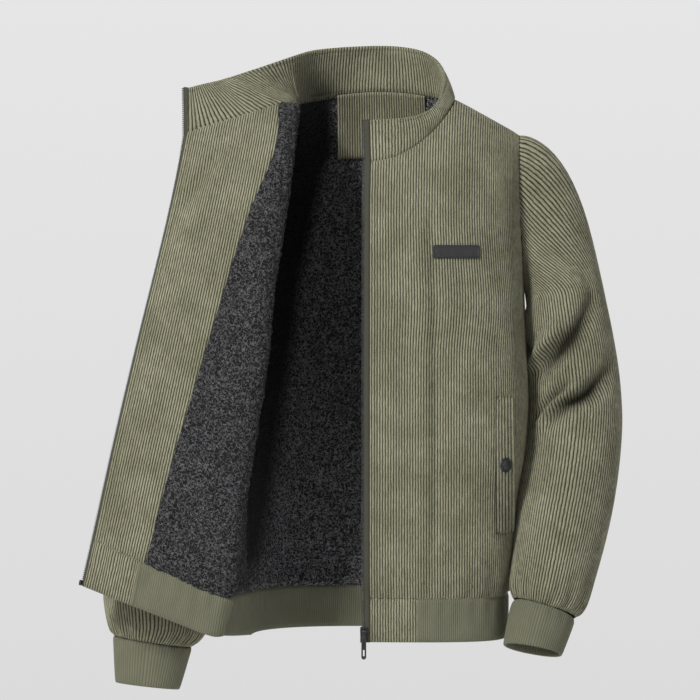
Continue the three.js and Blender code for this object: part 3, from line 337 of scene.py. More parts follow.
# Body of the jacket: a section for each height, then the turn over the shoulders
sections = {
    "z": [-683, -628, -606, -570, -500, -450, -390, -330, -243, -165],
    "left": [170, 170, 174, 178, 184, 192, 196, 194, 190, 189],
    "right": [160, 162, 166, 168, 168, 169, 174, 180, 190, 189],
    "front": [122, 123, 129, 131, 131, 130, 130, 129, 127, 124],
    "back": [110, 112, 119, 122, 122, 121, 121, 122, 123, 120],
    "rightSeamY": [-30, -32, -34, -36, -38, -35, -27, -16, 0, 0],
    "squareFront": [3.6, 3.6, 3.8, 4, 4.2, 4.2, 4, 3.6, 3, 2.6],
    "squareBack": [2.5] * 10,
}
bandFoot, hemSeam, bend, underarm = -683, -628, -165, -243
sewnIn = 1.2  # how far each edge runs on under its neighbour
shoulder = {"arc": 170, "round": 1.8, "ridgeY": 5, "fall": 0.553, "seamY": -15, "tipX": 184, "hole": 2.2,
            "turn": 15}
neck = {"half": 103, "drop": 85, "rise": 18, "curve": 0.75, "frontCrown": 8, "backCrown": 88}
seam = 0.3
rightAngle = math.pi / 2


def read(table, by, at, name):
    xs = np.array(table[by], float)
    ys = np.array(table[name], float)
    at = np.asarray(at, float)
    k = np.arange(len(xs))
    lo, hi = np.maximum(k - 1, 0), np.minimum(k + 1, len(xs) - 1)
    slope = (ys[hi] - ys[lo]) / (xs[hi] - xs[lo])
    i = np.clip(np.searchsorted(xs, at) - 1, 0, len(xs) - 2)
    span = xs[i + 1] - xs[i]
    s = np.clip((at - xs[i]) / span, 0, 1)
    rise = s * s * (3 - 2 * s)
    bulge = (s * (1 - s) ** 2 * slope[i] - s * s * (1 - s) * slope[i + 1]) * span
    return ys[i] + (ys[i + 1] - ys[i]) * rise + bulge


def readPoint(table, by, at):
    return np.stack([read(table, by, at, k) for k in ("x", "y", "z")], -1)


def ease(value, low, high):
    t = np.clip((value - low) / (high - low), 0, 1)
    return t * t * (3 - 2 * t)


def roundSin(angle, square):
    return np.abs(np.sin(angle)) ** (2 / square)


def roundCos(angle, square):
    return np.abs(np.cos(angle)) ** (2 / square)


def walked(points, axis):
    steps = np.linalg.norm(np.diff(points, axis=axis), axis=-1)
    zero = np.zeros_like(np.take(steps, [0], axis=axis))
    return np.concatenate([zero, np.cumsum(steps, axis=axis)], axis=axis)


heights = np.linspace(bandFoot, bend, 140)
shareSteps = np.linspace(0, 1, 481)


def rightSeamX(z):
    return -np.where(z >= underarm, read(sections, "z", z, "left"), read(sections, "z", z, "right"))


def rightSeamY(z):
    return np.where(z >= underarm, 0, np.minimum(read(sections, "z", z, "rightSeamY"), 0))


def sectionTable(panel):
    z = heights[:, None]
    angle = np.linspace(0, rightAngle * (1 if panel == "front" else 2), 721)[None, :]
    square = read(sections, "z", z, "squareFront" if panel == "front" else "squareBack")
    if panel == "front":
        x = read(sections, "z", z, "left") * roundSin(angle, square)
        y = -read(sections, "z", z, "front") * roundCos(angle, square)
    else:
        onLeft = angle <= rightAngle
        base = np.where(onLeft, 0, rightSeamY(z))
        x = np.where(onLeft, read(sections, "z", z, "left"), rightSeamX(z)) * roundCos(angle, square)
        y = base + (read(sections, "z", z, "back") - base) * roundSin(angle, square)
    points = np.stack([x, y], -1)
    along = walked(points, 1)
    even = [[np.interp(shareSteps * a[-1], a, p[:, c]) for c in (0, 1)] for a, p in zip(along, points)]
    return {"at": np.array(even).transpose(0, 2, 1), "length": along[:, -1]}


panels = {"front": sectionTable("front"), "back": sectionTable("back")}


def onSection(panel, share, z):
    share, z = np.broadcast_arrays(share, z)
    table = panels[panel]["at"]
    row = (np.clip(z, bandFoot, bend) - bandFoot) / (bend - bandFoot) * (len(heights) - 1)
    column = np.clip(share, 0, 1) * (len(shareSteps) - 1)
    i = np.minimum(row.astype(int), len(heights) - 2)
    j = np.minimum(column.astype(int), len(shareSteps) - 2)
    fr, fc = (row - i)[..., None], (column - j)[..., None]
    low = table[i, j] * (1 - fc) + table[i, j + 1] * fc
    high = table[i + 1, j] * (1 - fc) + table[i + 1, j + 1] * fc
    return low * (1 - fr) + high * fr


def frontY(x, z):
    square = read(sections, "z", z, "squareFront")
    out = np.minimum(np.abs(x) / read(sections, "z", z, "left"), 1)
    return -read(sections, "z", z, "front") * (1 - out ** square) ** (1 / square)


def crownAt(x, crown):
    out = np.abs(x)
    return np.where(out >= neck["half"], -(out - neck["half"]) * shoulder["fall"],
                    crown * (1 - (out / neck["half"]) ** 2))


def bodyPoint(panel, share, h):
    share, h = np.broadcast_arrays(np.asarray(share, float), np.asarray(h, float))
    foot = onSection(panel, share, np.minimum(h, bend))
    over = np.clip((h - bend) / shoulder["arc"], 0, 2)
    footY = np.where(over > 1, frontY(foot[..., 0], bend), foot[..., 1])
    angle = np.where(over > 1, 2 - over, over) * rightAngle
    top = crownAt(foot[..., 0], neck[panel + "Crown"])
    y = shoulder["ridgeY"] + (footY - shoulder["ridgeY"]) * roundCos(angle, shoulder["round"])
    z = bend + (top - bend) * roundSin(angle, shoulder["round"])
    flat = h <= bend
    return np.stack([foot[..., 0], np.where(flat, foot[..., 1], y), np.where(flat, h, z)], -1)


def necklineZ(x, tall):
    return tall * np.maximum(0, 1 - (x / neck["half"]) ** 2) ** neck["curve"]


def heightOfZ(x, crown, z):
    risen = np.clip((z - bend) / (crownAt(x, crown) - bend), 0, 1)
    return bend + shoulder["arc"] * np.arcsin(risen ** (shoulder["round"] / 2)) / rightAngle


def heightOfSeam(x, pastRidge):
    near = np.maximum(0, 1 - np.maximum(np.abs(x) - neck["half"], 0) / shoulder["turn"])
    top = shoulder["seamY"] + (shoulder["ridgeY"] - shoulder["seamY"]) * near
    depth = np.clip((top - shoulder["ridgeY"]) / (frontY(x, bend) - shoulder["ridgeY"]), 0, 1)
    angle = np.arccos(depth ** (shoulder["round"] / 2)) / rightAngle
    return bend + shoulder["arc"] * (2 - angle if pastRidge else angle)


def shareOfX(panel, x):
    xs = panels[panel]["at"][-1, :, 0]
    return np.interp(x, xs, shareSteps) if panel == "front" else np.interp(-np.asarray(x), -xs, shareSteps)


frontTip = float(shareOfX("front", shoulder["tipX"]))
backTip = float(shareOfX("back", shoulder["tipX"]))


def topOf(panel, share):
    share = np.asarray(share, float)
    back = panel == "back"
    x = onSection(panel, share, np.full(share.shape, bend, float))[..., 0]
    past = np.maximum(1 - share / backTip, 1 - (1 - share) / backTip) if back else (share - frontTip) / (1 - frontTip)
    neckTop = heightOfZ(x, neck[panel + "Crown"], necklineZ(x, neck["rise"] if back else -neck["drop"]))
    seamTop = heightOfSeam(x, back)
    tip = heightOfSeam(np.array(float(shoulder["tipX"])), back)
    hole = shoulder["hole"]
    side = tip - (tip - underarm) * (1 - (1 - np.clip(past, 0, 1)) ** hole) ** (1 / hole)
    return np.where(past > 0, side, np.where(np.abs(x) < neck["half"], neckTop, seamTop))


def armholePoint(k):
    k = np.asarray(k, float)
    hole = shoulder["hole"]
    step = np.abs(1 - k / 8)
    past = 1 - np.maximum(np.cos(step * rightAngle), 0) ** (2 / hole)
    frontShare = frontTip + (1 - frontTip) * past
    backShare = backTip * (1 - past)
    front = bodyPoint("front", frontShare, topOf("front", frontShare))
    back = bodyPoint("back", backShare, topOf("back", backShare))
    return np.where((k <= 8)[..., None], front, back)


# Cloth makers: normals of a grid, a wall of cloth behind it, and a mesh of both
def quadsOf(columns, rows):
    i, j = np.meshgrid(np.arange(columns - 1), np.arange(rows - 1), indexing="ij")
    a = (i * rows + j).ravel()
    return np.stack([a, a + rows, a + rows + 1, a + 1], -1)


def gridNormals(points):
    columns, rows = points.shape[:2]
    flat = points.reshape(-1, 3)
    same = np.unique(np.round(flat, 3), axis=0, return_inverse=True)[1].ravel()
    quads = quadsOf(columns, rows)
    a, b, c, d = (flat[quads[:, k]] for k in range(4))
    faces = np.cross(c - a, d - b)
    total = np.zeros((same.max() + 1, 3))
    for k in range(4):
        np.add.at(total, same[quads[:, k]], faces)
    normals = total[same]
    return (normals / np.maximum(np.linalg.norm(normals, axis=1, keepdims=True), 1e-9)).reshape(points.shape)


def spread(length, count, ends=0.8):
    t = np.linspace(0, 1, count + 1)
    return length * (t - ends * np.sin(2 * math.pi * t) / (2 * math.pi))


def waleRelief(across, rib):
    turn = np.mod(across / rib["pitch"], 1)
    return rib["height"] * (1 - np.abs(2 * turn - 1) ** 2.2 - 0.6)


def linkPiece(name, mesh, body="jacket"):
    piece = bpy.data.objects.new(name, mesh)
    scene.collection.objects.link(piece)
    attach(piece, body)
    return piece


def meshOf(name, points, faces, uv, materials, faceMaterials=None):
    mesh = bpy.data.meshes.new(name)
    mesh.from_pydata((points / 1000).tolist(), [], faces)
    layer = mesh.uv_layers.new(name="cloth")
    corner = np.zeros(len(mesh.loops), np.int32)
    mesh.loops.foreach_get("vertex_index", corner)
    layer.data.foreach_set("uv", (uv[corner] / 1000).astype(np.float32).ravel())
    for material in materials:
        mesh.materials.append(material)
    if faceMaterials is not None:
        mesh.polygons.foreach_set("material_index", faceMaterials)
    mesh.polygons.foreach_set("use_smooth", np.ones(len(mesh.polygons), bool))
    work = bmesh.new()
    work.from_mesh(mesh)
    bmesh.ops.remove_doubles(work, verts=work.verts, dist=2e-6)
    work.to_mesh(mesh)
    work.free()
    mesh.update()
    return mesh


def clothWall(name, points, uv, relief, thick, outer, inner=None, skip=4, around=False, normals=None):
    columns, rows = points.shape[:2]
    normals = gridNormals(points) if normals is None else normals
    face = points + normals * relief[..., None]
    picks = np.unique(np.append(np.arange(0, columns, skip), columns - 1))
    behind = (points - normals * thick)[picks]
    both = np.concatenate([face.reshape(-1, 3), behind.reshape(-1, 3)])
    uvs = np.concatenate([uv.reshape(-1, 2), uv[picks].reshape(-1, 2)])
    start = columns * rows
    faces = quadsOf(columns, rows).tolist()
    outerCount = len(faces)
    faces += (quadsOf(len(picks), rows)[:, ::-1] + start).tolist()
    innerCount = len(faces)
    last = rows - 1
    for n in range(len(picks) - 1):
        p, q = picks[n], picks[n + 1]
        down = [int(i * rows) for i in range(q, p - 1, -1)]
        up = [int(i * rows + last) for i in range(p, q + 1)]
        faces.append(down + [start + n * rows, start + (n + 1) * rows])
        faces.append(up + [start + (n + 1) * rows + last, start + n * rows + last])
    if not around:
        far, deep = (columns - 1) * rows, start + (len(picks) - 1) * rows
        for j in range(last):
            faces.append([j, j + 1, start + j + 1, start + j])
            faces.append([far + j + 1, far + j, deep + j, deep + j + 1])
    kinds = np.zeros(len(faces), np.int32)
    kinds[outerCount:innerCount] = 1 if inner else 0
    materials = [finishes[outer]] + ([finishes[inner]] if inner else [])
    piece = linkPiece(name, meshOf(name, both, faces, uvs, materials, kinds))
    return piece


def foldedCloth(name, points, uv, relief, thick, outer, rolls=5, tail=0):
    columns, rows = points.shape[:2]
    normals = gridNormals(points)
    radius = thick / 2
    tip = points[:, -1]
    along = tip - points[:, -2]
    along = along / np.maximum(np.linalg.norm(along, axis=1, keepdims=True), 1e-9)
    axis = tip - along * radius
    edge = normals[:, -1]
    turn = np.linspace(0, math.pi, rolls + 2)[1:-1]
    short = np.linalg.norm(points - tip[:, None], axis=-1) > radius
    keep = int(short[columns // 2].sum())
    outerRows = (points + normals * relief[..., None])[:, :keep]
    swell = relief[:, -1:, None] * 0.6
    rolled = axis[:, None] + along[:, None] * (radius + swell) * np.sin(turn)[None, :, None] \
        - edge[:, None] * (radius - (radius + swell) * np.cos(turn)[None, :, None])
    innerRows = (points - normals * (thick + relief[..., None]))[:, :keep][:, ::-1]
    lower = points[:, :1] - points[:, 1:2]
    lower = lower / np.maximum(np.linalg.norm(lower, axis=-1, keepdims=True), 1e-9)
    innerRows[:, -1:] += lower * tail
    ring = np.concatenate([outerRows, rolled, innerRows], 1)
    uvRing = np.concatenate([uv[:, :keep], np.repeat(uv[:, -1:], rolls, 1), uv[:, :keep][:, ::-1]], 1)
    uvRing[..., 1] += np.linspace(0, 3, uvRing.shape[1])[None, :]
    count = ring.shape[1]
    faces = quadsOf(columns, count).tolist()
    for i in range(columns - 1):
        faces.append([i * count, i * count + count - 1, (i + 1) * count + count - 1, (i + 1) * count])
    pairs = count // 2
    for side, flip in ((0, 1), (columns - 1, -1)):
        base = side * count
        for j in range(pairs):
            near, far = [base + j, base + j + 1], [base + count - 2 - j, base + count - 1 - j]
            if near[1] < far[0]:
                faces.append((near + far)[::flip])
            elif near[1] == far[0]:
                faces.append([near[0], near[1], far[1]][::flip])
    return linkPiece(name, meshOf(name, ring.reshape(-1, 3), faces, uvRing.reshape(-1, 2), [finishes[outer]]))


# Painted shade: darkens a piece's colour where it lies deep in a fold or under its neighbours
def writeShade(piece, values):
    shade = piece.data.attributes.new("shade", "FLOAT", "POINT")
    shade.data.foreach_set("value", values.astype(np.float32))


def shadePiece(piece, rule):
    where, facing = (np.zeros(len(piece.data.vertices) * 3) for _ in range(2))
    piece.data.vertices.foreach_get("co", where)
    piece.data.vertices.foreach_get("normal", facing)
    where = where.reshape(-1, 3) * 1000
    writeShade(piece, rule(where[:, 0], where[:, 1], where[:, 2], facing.reshape(-1, 3)[:, 1]))


def shadeFrom(piece, points, values):
    tree = KDTree(points.shape[0] * points.shape[1])
    for i, spot in enumerate(points.reshape(-1, 3) / 1000):
        tree.insert(spot, i)
    tree.balance()
    flat = np.append(values.ravel(), 0)
    found = [tree.find(vertex.co) for vertex in piece.data.vertices]
    writeShade(piece, flat[[i if far < 0.0006 else -1 for _, i, far in found]])


def hollowLine(distance, deep, wide):
    return -deep * np.exp(-(distance / wide) ** 2)


def declare(piece, nodes):
    if nodes:
        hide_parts(*nodes)
    print(piece.name, "made,", sum(len(p.vertices) - 2 for p in piece.data.polygons), "triangles")


lineStore = []


def keepLine(line, outs):
    lineStore.append((line, outs))


def bumps(seed, count, spanU, spanV, wide):
    chance = np.random.default_rng(seed)
    spots = np.stack([chance.uniform(*spanU, count), chance.uniform(*spanV, count), chance.uniform(-1, 1, count),
                      chance.uniform(0.6, 1.4, count)], -1)

    def height(u, v):
        total = np.zeros(np.broadcast(u, v).shape)
        for x, y, size, reach in spots:
            total += size * np.exp(-(((u - x) / (wide * reach)) ** 2 + ((v - y) / (wide * 2.6 * reach)) ** 2))
        return total
    return height


def pucker(across, fromEdge, pitch, deep, reach, seed):
    chance = np.random.default_rng(seed)
    warp = chance.uniform(-1, 1, 4)
    phase = across / pitch + 0.5 * np.sin(across / (3.1 * pitch) + warp[0])
    phase = phase + 0.4 * np.sin(across / (7.3 * pitch) + warp[1])
    held = ease(np.maximum(fromEdge, 0), 0, 9)
    return deep * np.sin(2 * math.pi * phase) * held * np.exp(-(np.maximum(fromEdge, 0) / reach) ** 1.5)


# Left front: its wales run down beside the zip, and the side seam and the armhole cut across them
leftFront = {
    "rows": 58, "thick": 2, "stitch": 9, "width": 300,
    "crease": {"at": 80, "wide": 7, "deep": 4.6, "from": -590, "to": -120},
    "swell": {"at": 62, "wide": 13, "deep": 3.6, "from": -600, "to": -110},
    "flat": (0.287, 0.634), "area": 0.149,
}
frontLength = panels["front"]["length"]
backLength = panels["back"]["length"]


def settledLength(lengths, z):
    here = np.interp(z, heights, lengths)
    return here + (lengths[-1] - here) * ease(z, -330, underarm)


def frontGrid(spec, inset=0.0):
    step = wale["pitch"] / wale["steps"]
    across = np.arange(0, spec["width"], step)[:, None]
    rows = spread(1.0, spec["rows"], 0.72)[None, :]
    top = topOf("front", np.clip(across / frontLength[-1], 0, 1)) + sewnIn * 0.7 - inset
    foot = hemSeam - sewnIn
    h = foot + (top - foot) * rows
    length = settledLength(frontLength, np.minimum(h, bend))
    across = np.minimum(across + 0 * h, length)
    return across, h, across / length, length - across, top - h


across, h, share, fromSide, fromTop = frontGrid(leftFront)
points = bodyPoint("front", share, h)
normals = gridNormals(points)
crease, swell = leftFront["crease"], leftFront["swell"]
soft = bumps(3, 26, (20, 240), (-600, -60), 24)(across, h) * 1.3
for fold, sign in ((crease, -1), (swell, 1)):
    within = ease(h, fold["from"], fold["from"] + 60) * (1 - ease(h, fold["to"] - 70, fold["to"]))
    off = (across - fold["at"] - 3 * np.sin(h / 90)) / fold["wide"]
    soft += sign * fold["deep"] * np.exp(-off ** 2) * within
soft += pucker(across, h - hemSeam, 26, 1.7, 34, 5) * ease(across, 14, 40)
held = ease(across, 0, 22) * ease(fromTop, 0, 30) * ease(fromSide, 0, 20)
underPlate = np.exp(-((across - 112) / 42) ** 4 - ((h + 198) / 18) ** 4)
soft = soft * np.maximum(held, 0.12) * (1 - underPlate)
relief = waleRelief(across, wale) + hollowLine(across - leftFront["stitch"], 0.9, 1.3)
relief += hollowLine(across, 1.1, 1.4) + hollowLine(np.maximum(fromSide, 0), 1.4, 2.2)
relief += hollowLine(fromTop, 1.2, 2.2) + hollowLine(h - hemSeam, 1.3, 2.4)
frontCloth = clothWall("leftFront", points + normals * soft[..., None], np.stack([across, h], -1), relief,
                       leftFront["thick"], "corduroy", "fleece")
column = int(leftFront["stitch"] / wale["pitch"] * wale["steps"])
keepLine((points + normals * (soft + relief + 0.1)[..., None])[column], normals[column])
declare(frontCloth, ["left_front"])

# Back: one panel from side seam to side seam
backPanel = {"rows": 62, "thick": 2, "half": 292, "flat": (0.58, 0.67), "area": 0.34}
centre = np.array([np.interp(0, -row[:, 0], shareSteps) * length
                   for row, length in zip(panels["back"]["at"], backLength)])
step = wale["pitch"] / wale["steps"]
across = np.arange(-backPanel["half"], backPanel["half"] + step, step)[:, None]
rows = spread(1.0, backPanel["rows"], 0.72)[None, :]


def backShare(across, h):
    z = np.minimum(h, bend)
    settled = ease(z, -330, underarm)
    length = settledLength(backLength, z)
    middle = np.interp(z, heights, centre)
    middle = middle + (backLength[-1] / 2 - middle) * settled
    return np.clip((middle + across) / length, 0, 1), length, middle


top = topOf("back", np.clip(0.5 + across / backLength[-1], 0, 1)) + sewnIn * 0.7
foot = hemSeam - sewnIn
h = foot + (top - foot) * rows
share, length, middle = backShare(across, h)
across = share * length - middle
fromSide = np.minimum(share, 1 - share) * length
fromTop = top - h
points = bodyPoint("back", share, h)
normals = gridNormals(points)
soft = bumps(8, 60, (-270, 270), (-600, 60), 34)(across + 0 * h, h) * 1.8
soft += pucker(across + 0 * h, h - hemSeam, 27, 2.0, 38, 11)
soft *= ease(fromTop, 0, 40) * ease(fromSide, 0, 22)
relief = waleRelief(across + 0 * h, wale) + hollowLine(np.maximum(fromSide, 0), 1.4, 2.2)
relief += hollowLine(fromTop, 1.2, 2.2) + hollowLine(h - hemSeam, 1.3, 2.4)
backCloth = clothWall("backPanel", points + normals * soft[..., None], np.stack([across + 0 * h, h], -1), relief,
                      backPanel["thick"], "corduroy", "fleece")
declare(backCloth, ["back"])

# Right front, turned open on a soft fold
openEdge = {
    "share": [-0.1, 0, 0.25, 0.5, 0.75, 0.9, 1],
    "x": [-359, -346, -318, -288, -258, -242, -234],
    "y": [-105, -105, -102, -99, -88, -76, -62],
    "z": [-617, -560, -431, -302, -174, -96, -45],
}
foldCrest = {
    "share": [-0.1, 0, 0.12, 0.25, 0.5, 0.62, 0.75, 0.86, 0.94, 1],
    "x": [-188, -174, -166, -154, -130, -124, -112, -104, -101, -100],
    "y": [-108, -110, -112, -113, -111, -107, -96, -78, -54, -24],
    "z": [-677, -628, -553, -472, -314, -240, -157, -88, -40, -8],
    "round": [8, 9, 10, 10, 10, 10, 10, 9, 8, 14],
    "tuck": [8, 9, 10, 10, 10, 10, 10, 8, 5, 3],
}
openShape = {"bandShare": -0.1, "underarm": 0.61, "tip": 0.92, "belly": 7, "swell": 0.1, "reach": 90}
facingWidths = {"share": [0, 0.25, 0.5, 0.75, 0.9, 1], "wide": [72, 79, 90, 106, 126, 121]}


def sideSeam(share):
    share = np.asarray(share, float)
    z = np.where(share < 0, hemSeam + (bandFoot - hemSeam) * share / openShape["bandShare"],
                 hemSeam + (underarm - hemSeam) * np.minimum(share / openShape["underarm"], 1))
    low = np.stack([rightSeamX(z), rightSeamY(z), z], -1)
    k = 8 * np.clip((share - openShape["underarm"]) / (openShape["tip"] - openShape["underarm"]), 0, 1)
    middle = armholePoint(k) * np.array([-1, 1, 1])
    x = shoulder["tipX"] + (neck["half"] - shoulder["tipX"]) \
        * np.clip((share - openShape["tip"]) / (1 - openShape["tip"]), 0, 1)
    high = bodyPoint("front", shareOfX("front", x), heightOfSeam(x, False)) * np.array([-1, 1, 1])
    under, tip = (share <= openShape["underarm"])[..., None], (share <= openShape["tip"])[..., None]
    return np.where(under, low, np.where(tip, middle, high))


def throughPoints(route, count):
    before = 2 * route[:, :1] - route[:, 1:2]
    after = 2 * route[:, -1:] - route[:, -2:-1]
    full = np.concatenate([before, route, after], 1)
    t = np.linspace(0, 1, count + 1)[None, :, None]
    parts = []
    for i in range(route.shape[1] - 1):
        a, b, c, d = (full[:, i + k] for k in range(4))
        gap = [np.maximum(np.linalg.norm(q - p, axis=-1, keepdims=True), 1e-6) ** 0.5
               for p, q in ((a, b), (b, c), (c, d))]
        t1 = ((b - a) / gap[0] - (c - a) / (gap[0] + gap[1]) + (c - b) / gap[1]) * gap[1]
        t2 = ((c - b) / gap[1] - (d - b) / (gap[1] + gap[2]) + (d - c) / gap[2]) * gap[1]
        b, c, t1, t2 = (v[:, None] for v in (b, c, t1, t2))
        part = b + t1 * t + (-3 * b + 3 * c - 2 * t1 - t2) * t ** 2 + (2 * b - 2 * c + t1 + t2) * t ** 3
        parts.append(part if i == 0 else part[:, 1:])
    return np.concatenate(parts, 1)


def openRows(shares, count=28):
    shares = np.asarray(shares, float)
    side = sideSeam(shares)
    crest = readPoint(foldCrest, "share", shares)
    rounds, tucks = read(foldCrest, "share", shares, "round"), read(foldCrest, "share", shares, "tuck")
    edge = readPoint(openEdge, "share", shares)
    zero = 0 * rounds
    under = crest + np.stack([-tucks, rounds, zero], -1)
    over = crest + np.stack([-rounds, -rounds, zero], -1)

    def between(a, b, s, out):
        shift = np.stack([zero, -out * math.sin(s * math.pi) + zero, zero], -1)
        return a + (b - a) * s + shift
    hollow = openShape["swell"] * np.minimum(np.linalg.norm(side - under, axis=-1), openShape["reach"])
    route = np.stack([side, between(side, under, 0.5, hollow), under, crest, over,
                      between(over, edge, 0.35, openShape["belly"]),
                      between(over, edge, 0.7, openShape["belly"]), edge], 1)
    return throughPoints(route, count)


class OpenFront:
    def __init__(self, shares, count=28):
        self.shares = np.asarray(shares, float)
        self.lines = openRows(self.shares, count)
        self.along = walked(self.lines, 1)
        self.total = self.along[:, -1]
        self.folds = self.along[:, [2 * count, 4 * count]]

    def at(self, distance):
        points = [np.stack([np.interp(d, a, line[:, c]) for c in range(3)], -1)
                  for d, a, line in zip(distance.T, self.along, self.lines)]
        return np.stack(points, 1)

    def fromEdge(self, away):
        return self.at(np.clip(self.total[None, :] - away, 0, self.total[None, :]))


rightFront = {"rows": 58, "thick": 2, "width": 420, "stitch": 9, "flat": (0.35, 0.64), "area": 0.16}
front = OpenFront(spread(1.0, rightFront["rows"], 0.6) * (1 - 0.0012) + 0.0006)
widest = float(front.total.max())
away = np.minimum(np.arange(0, widest + step, step)[::-1][:, None], front.total[None, :])
points = front.fromEdge(away)
normals = gridNormals(points)
fromSide = front.total[None, :] - away
openTall = 640  # height of the open panel, from hem to neck
openHeight = np.broadcast_to(front.shares[None, :] * openTall, away.shape)
dents = [  # where a soft dent runs in the open panel: from, to (millimetres off the edge, share), depth, width
    ((14, 0.80), (52, 0.93), 4.5, 11), ((60, 0.90), (30, 0.72), -2.5, 12), ((40, 0.30), (110, 0.42), 2.0, 22),
    ((20, 0.12), (90, 0.04), 2.4, 18),
]


def openSoft(away, share):
    total = np.zeros(away.shape)
    here = np.stack([away, share * openTall + 0 * away], -1)
    for a, b, deep, wide in dents:
        start, end = np.array([a[0], a[1] * openTall]), np.array([b[0], b[1] * openTall])
        line = end - start
        s = np.clip(((here - start) @ line) / (line @ line), 0, 1)
        gap = np.linalg.norm(here - start - s[..., None] * line, axis=-1) / wide
        total += deep * np.exp(-gap ** 2) * np.sin((0.15 + 0.7 * s) * math.pi)
    total += bumps(21, 34, (10, 380), (0, 620), 26)(away, share * openTall) * 1.3
    return total * ease(away, 0, 12) * ease(share, 0, 0.03) * (1 - ease(share, 0.97, 1))


soft = openSoft(away, front.shares[None, :]) * ease(fromSide, 0, 20)
relief = waleRelief(away, wale) + hollowLine(away - rightFront["stitch"], 0.9, 1.3) + hollowLine(away, 1.1, 1.4)
relief += hollowLine(np.maximum(fromSide, 0), 1.4, 2.2) + hollowLine(openHeight, 1.3, 2.4)
relief += hollowLine(openTall - openHeight, 1.2, 2.2)
openCloth = clothWall("rightFront", points + normals * soft[..., None], np.stack([away, openHeight], -1), relief,
                      rightFront["thick"], "corduroy", "fleece")
column = -int(rightFront["stitch"] / wale["pitch"] * wale["steps"]) - 1
keepLine((points + normals * (soft + relief + 0.1)[..., None])[column], normals[column])
declare(openCloth, ["right_front"])

# Facing down the inside of the open edge, and the fleece beside it
facing = {"depth": 4.9, "thick": 2, "flat": (0.135, 0.63), "area": 0.062}
widths = read(facingWidths, "share", front.shares, "wide")[None, :]
inAcross = np.arange(0, 131, step)[:, None] + 0 * widths
inAway = np.minimum(inAcross, widths)
inner = front.fromEdge(inAway)
inSoft = openSoft(inAway, front.shares[None, :])
outward = gridNormals(inner[::-1])[::-1]
outward = np.where(np.isfinite(outward), outward, 0)
lying = inner - outward * (facing["depth"] - inSoft[..., None])
relief = waleRelief(inAway, wale) + hollowLine(inAway - rightFront["stitch"], 1.0, 1.4)
relief += hollowLine(inAway, 1.6, 1.6) + hollowLine(widths - inAway, 1.2, 1.6)
relief += hollowLine(openTall * (1 - front.shares)[None, :], 1.2, 2.4)\
    + hollowLine(openTall * front.shares[None, :], 1.3, 2.4)
facingCloth = clothWall("openFacing", lying, np.stack([inAway, np.broadcast_to(openHeight[0], inAway.shape)], -1),
                        relief, facing["thick"], "corduroy")
column = int(rightFront["stitch"] / wale["pitch"] * wale["steps"])
keepLine((lying - outward * (relief + 0.1)[..., None])[column], -outward[column])
declare(facingCloth, ["right_facing"])


# Fleece: a closed layer whose seen face is raised into small curls
def newTree(name, sizes):
    tree = bpy.data.node_groups.new(name, "GeometryNodeTree")
    tree.interface.new_socket("Geometry", in_out="INPUT", socket_type="NodeSocketGeometry")
    for socketName in sizes:
        tree.interface.new_socket(socketName, in_out="INPUT", socket_type="NodeSocketFloat")
    tree.interface.new_socket("Geometry", in_out="OUTPUT", socket_type="NodeSocketGeometry")
    return tree


# Puts a tree on a piece with its sizes, then makes the piece a plain mesh
def applyTree(piece, name, tree, sizes):
    modifier = piece.modifiers.new(name, "NODES")
    modifier.node_group = tree
    for item in tree.interface.items_tree:
        if item.in_out == "INPUT" and item.name in sizes:
            modifier[item.identifier] = sizes[item.name]
    bakeModifiers(piece)


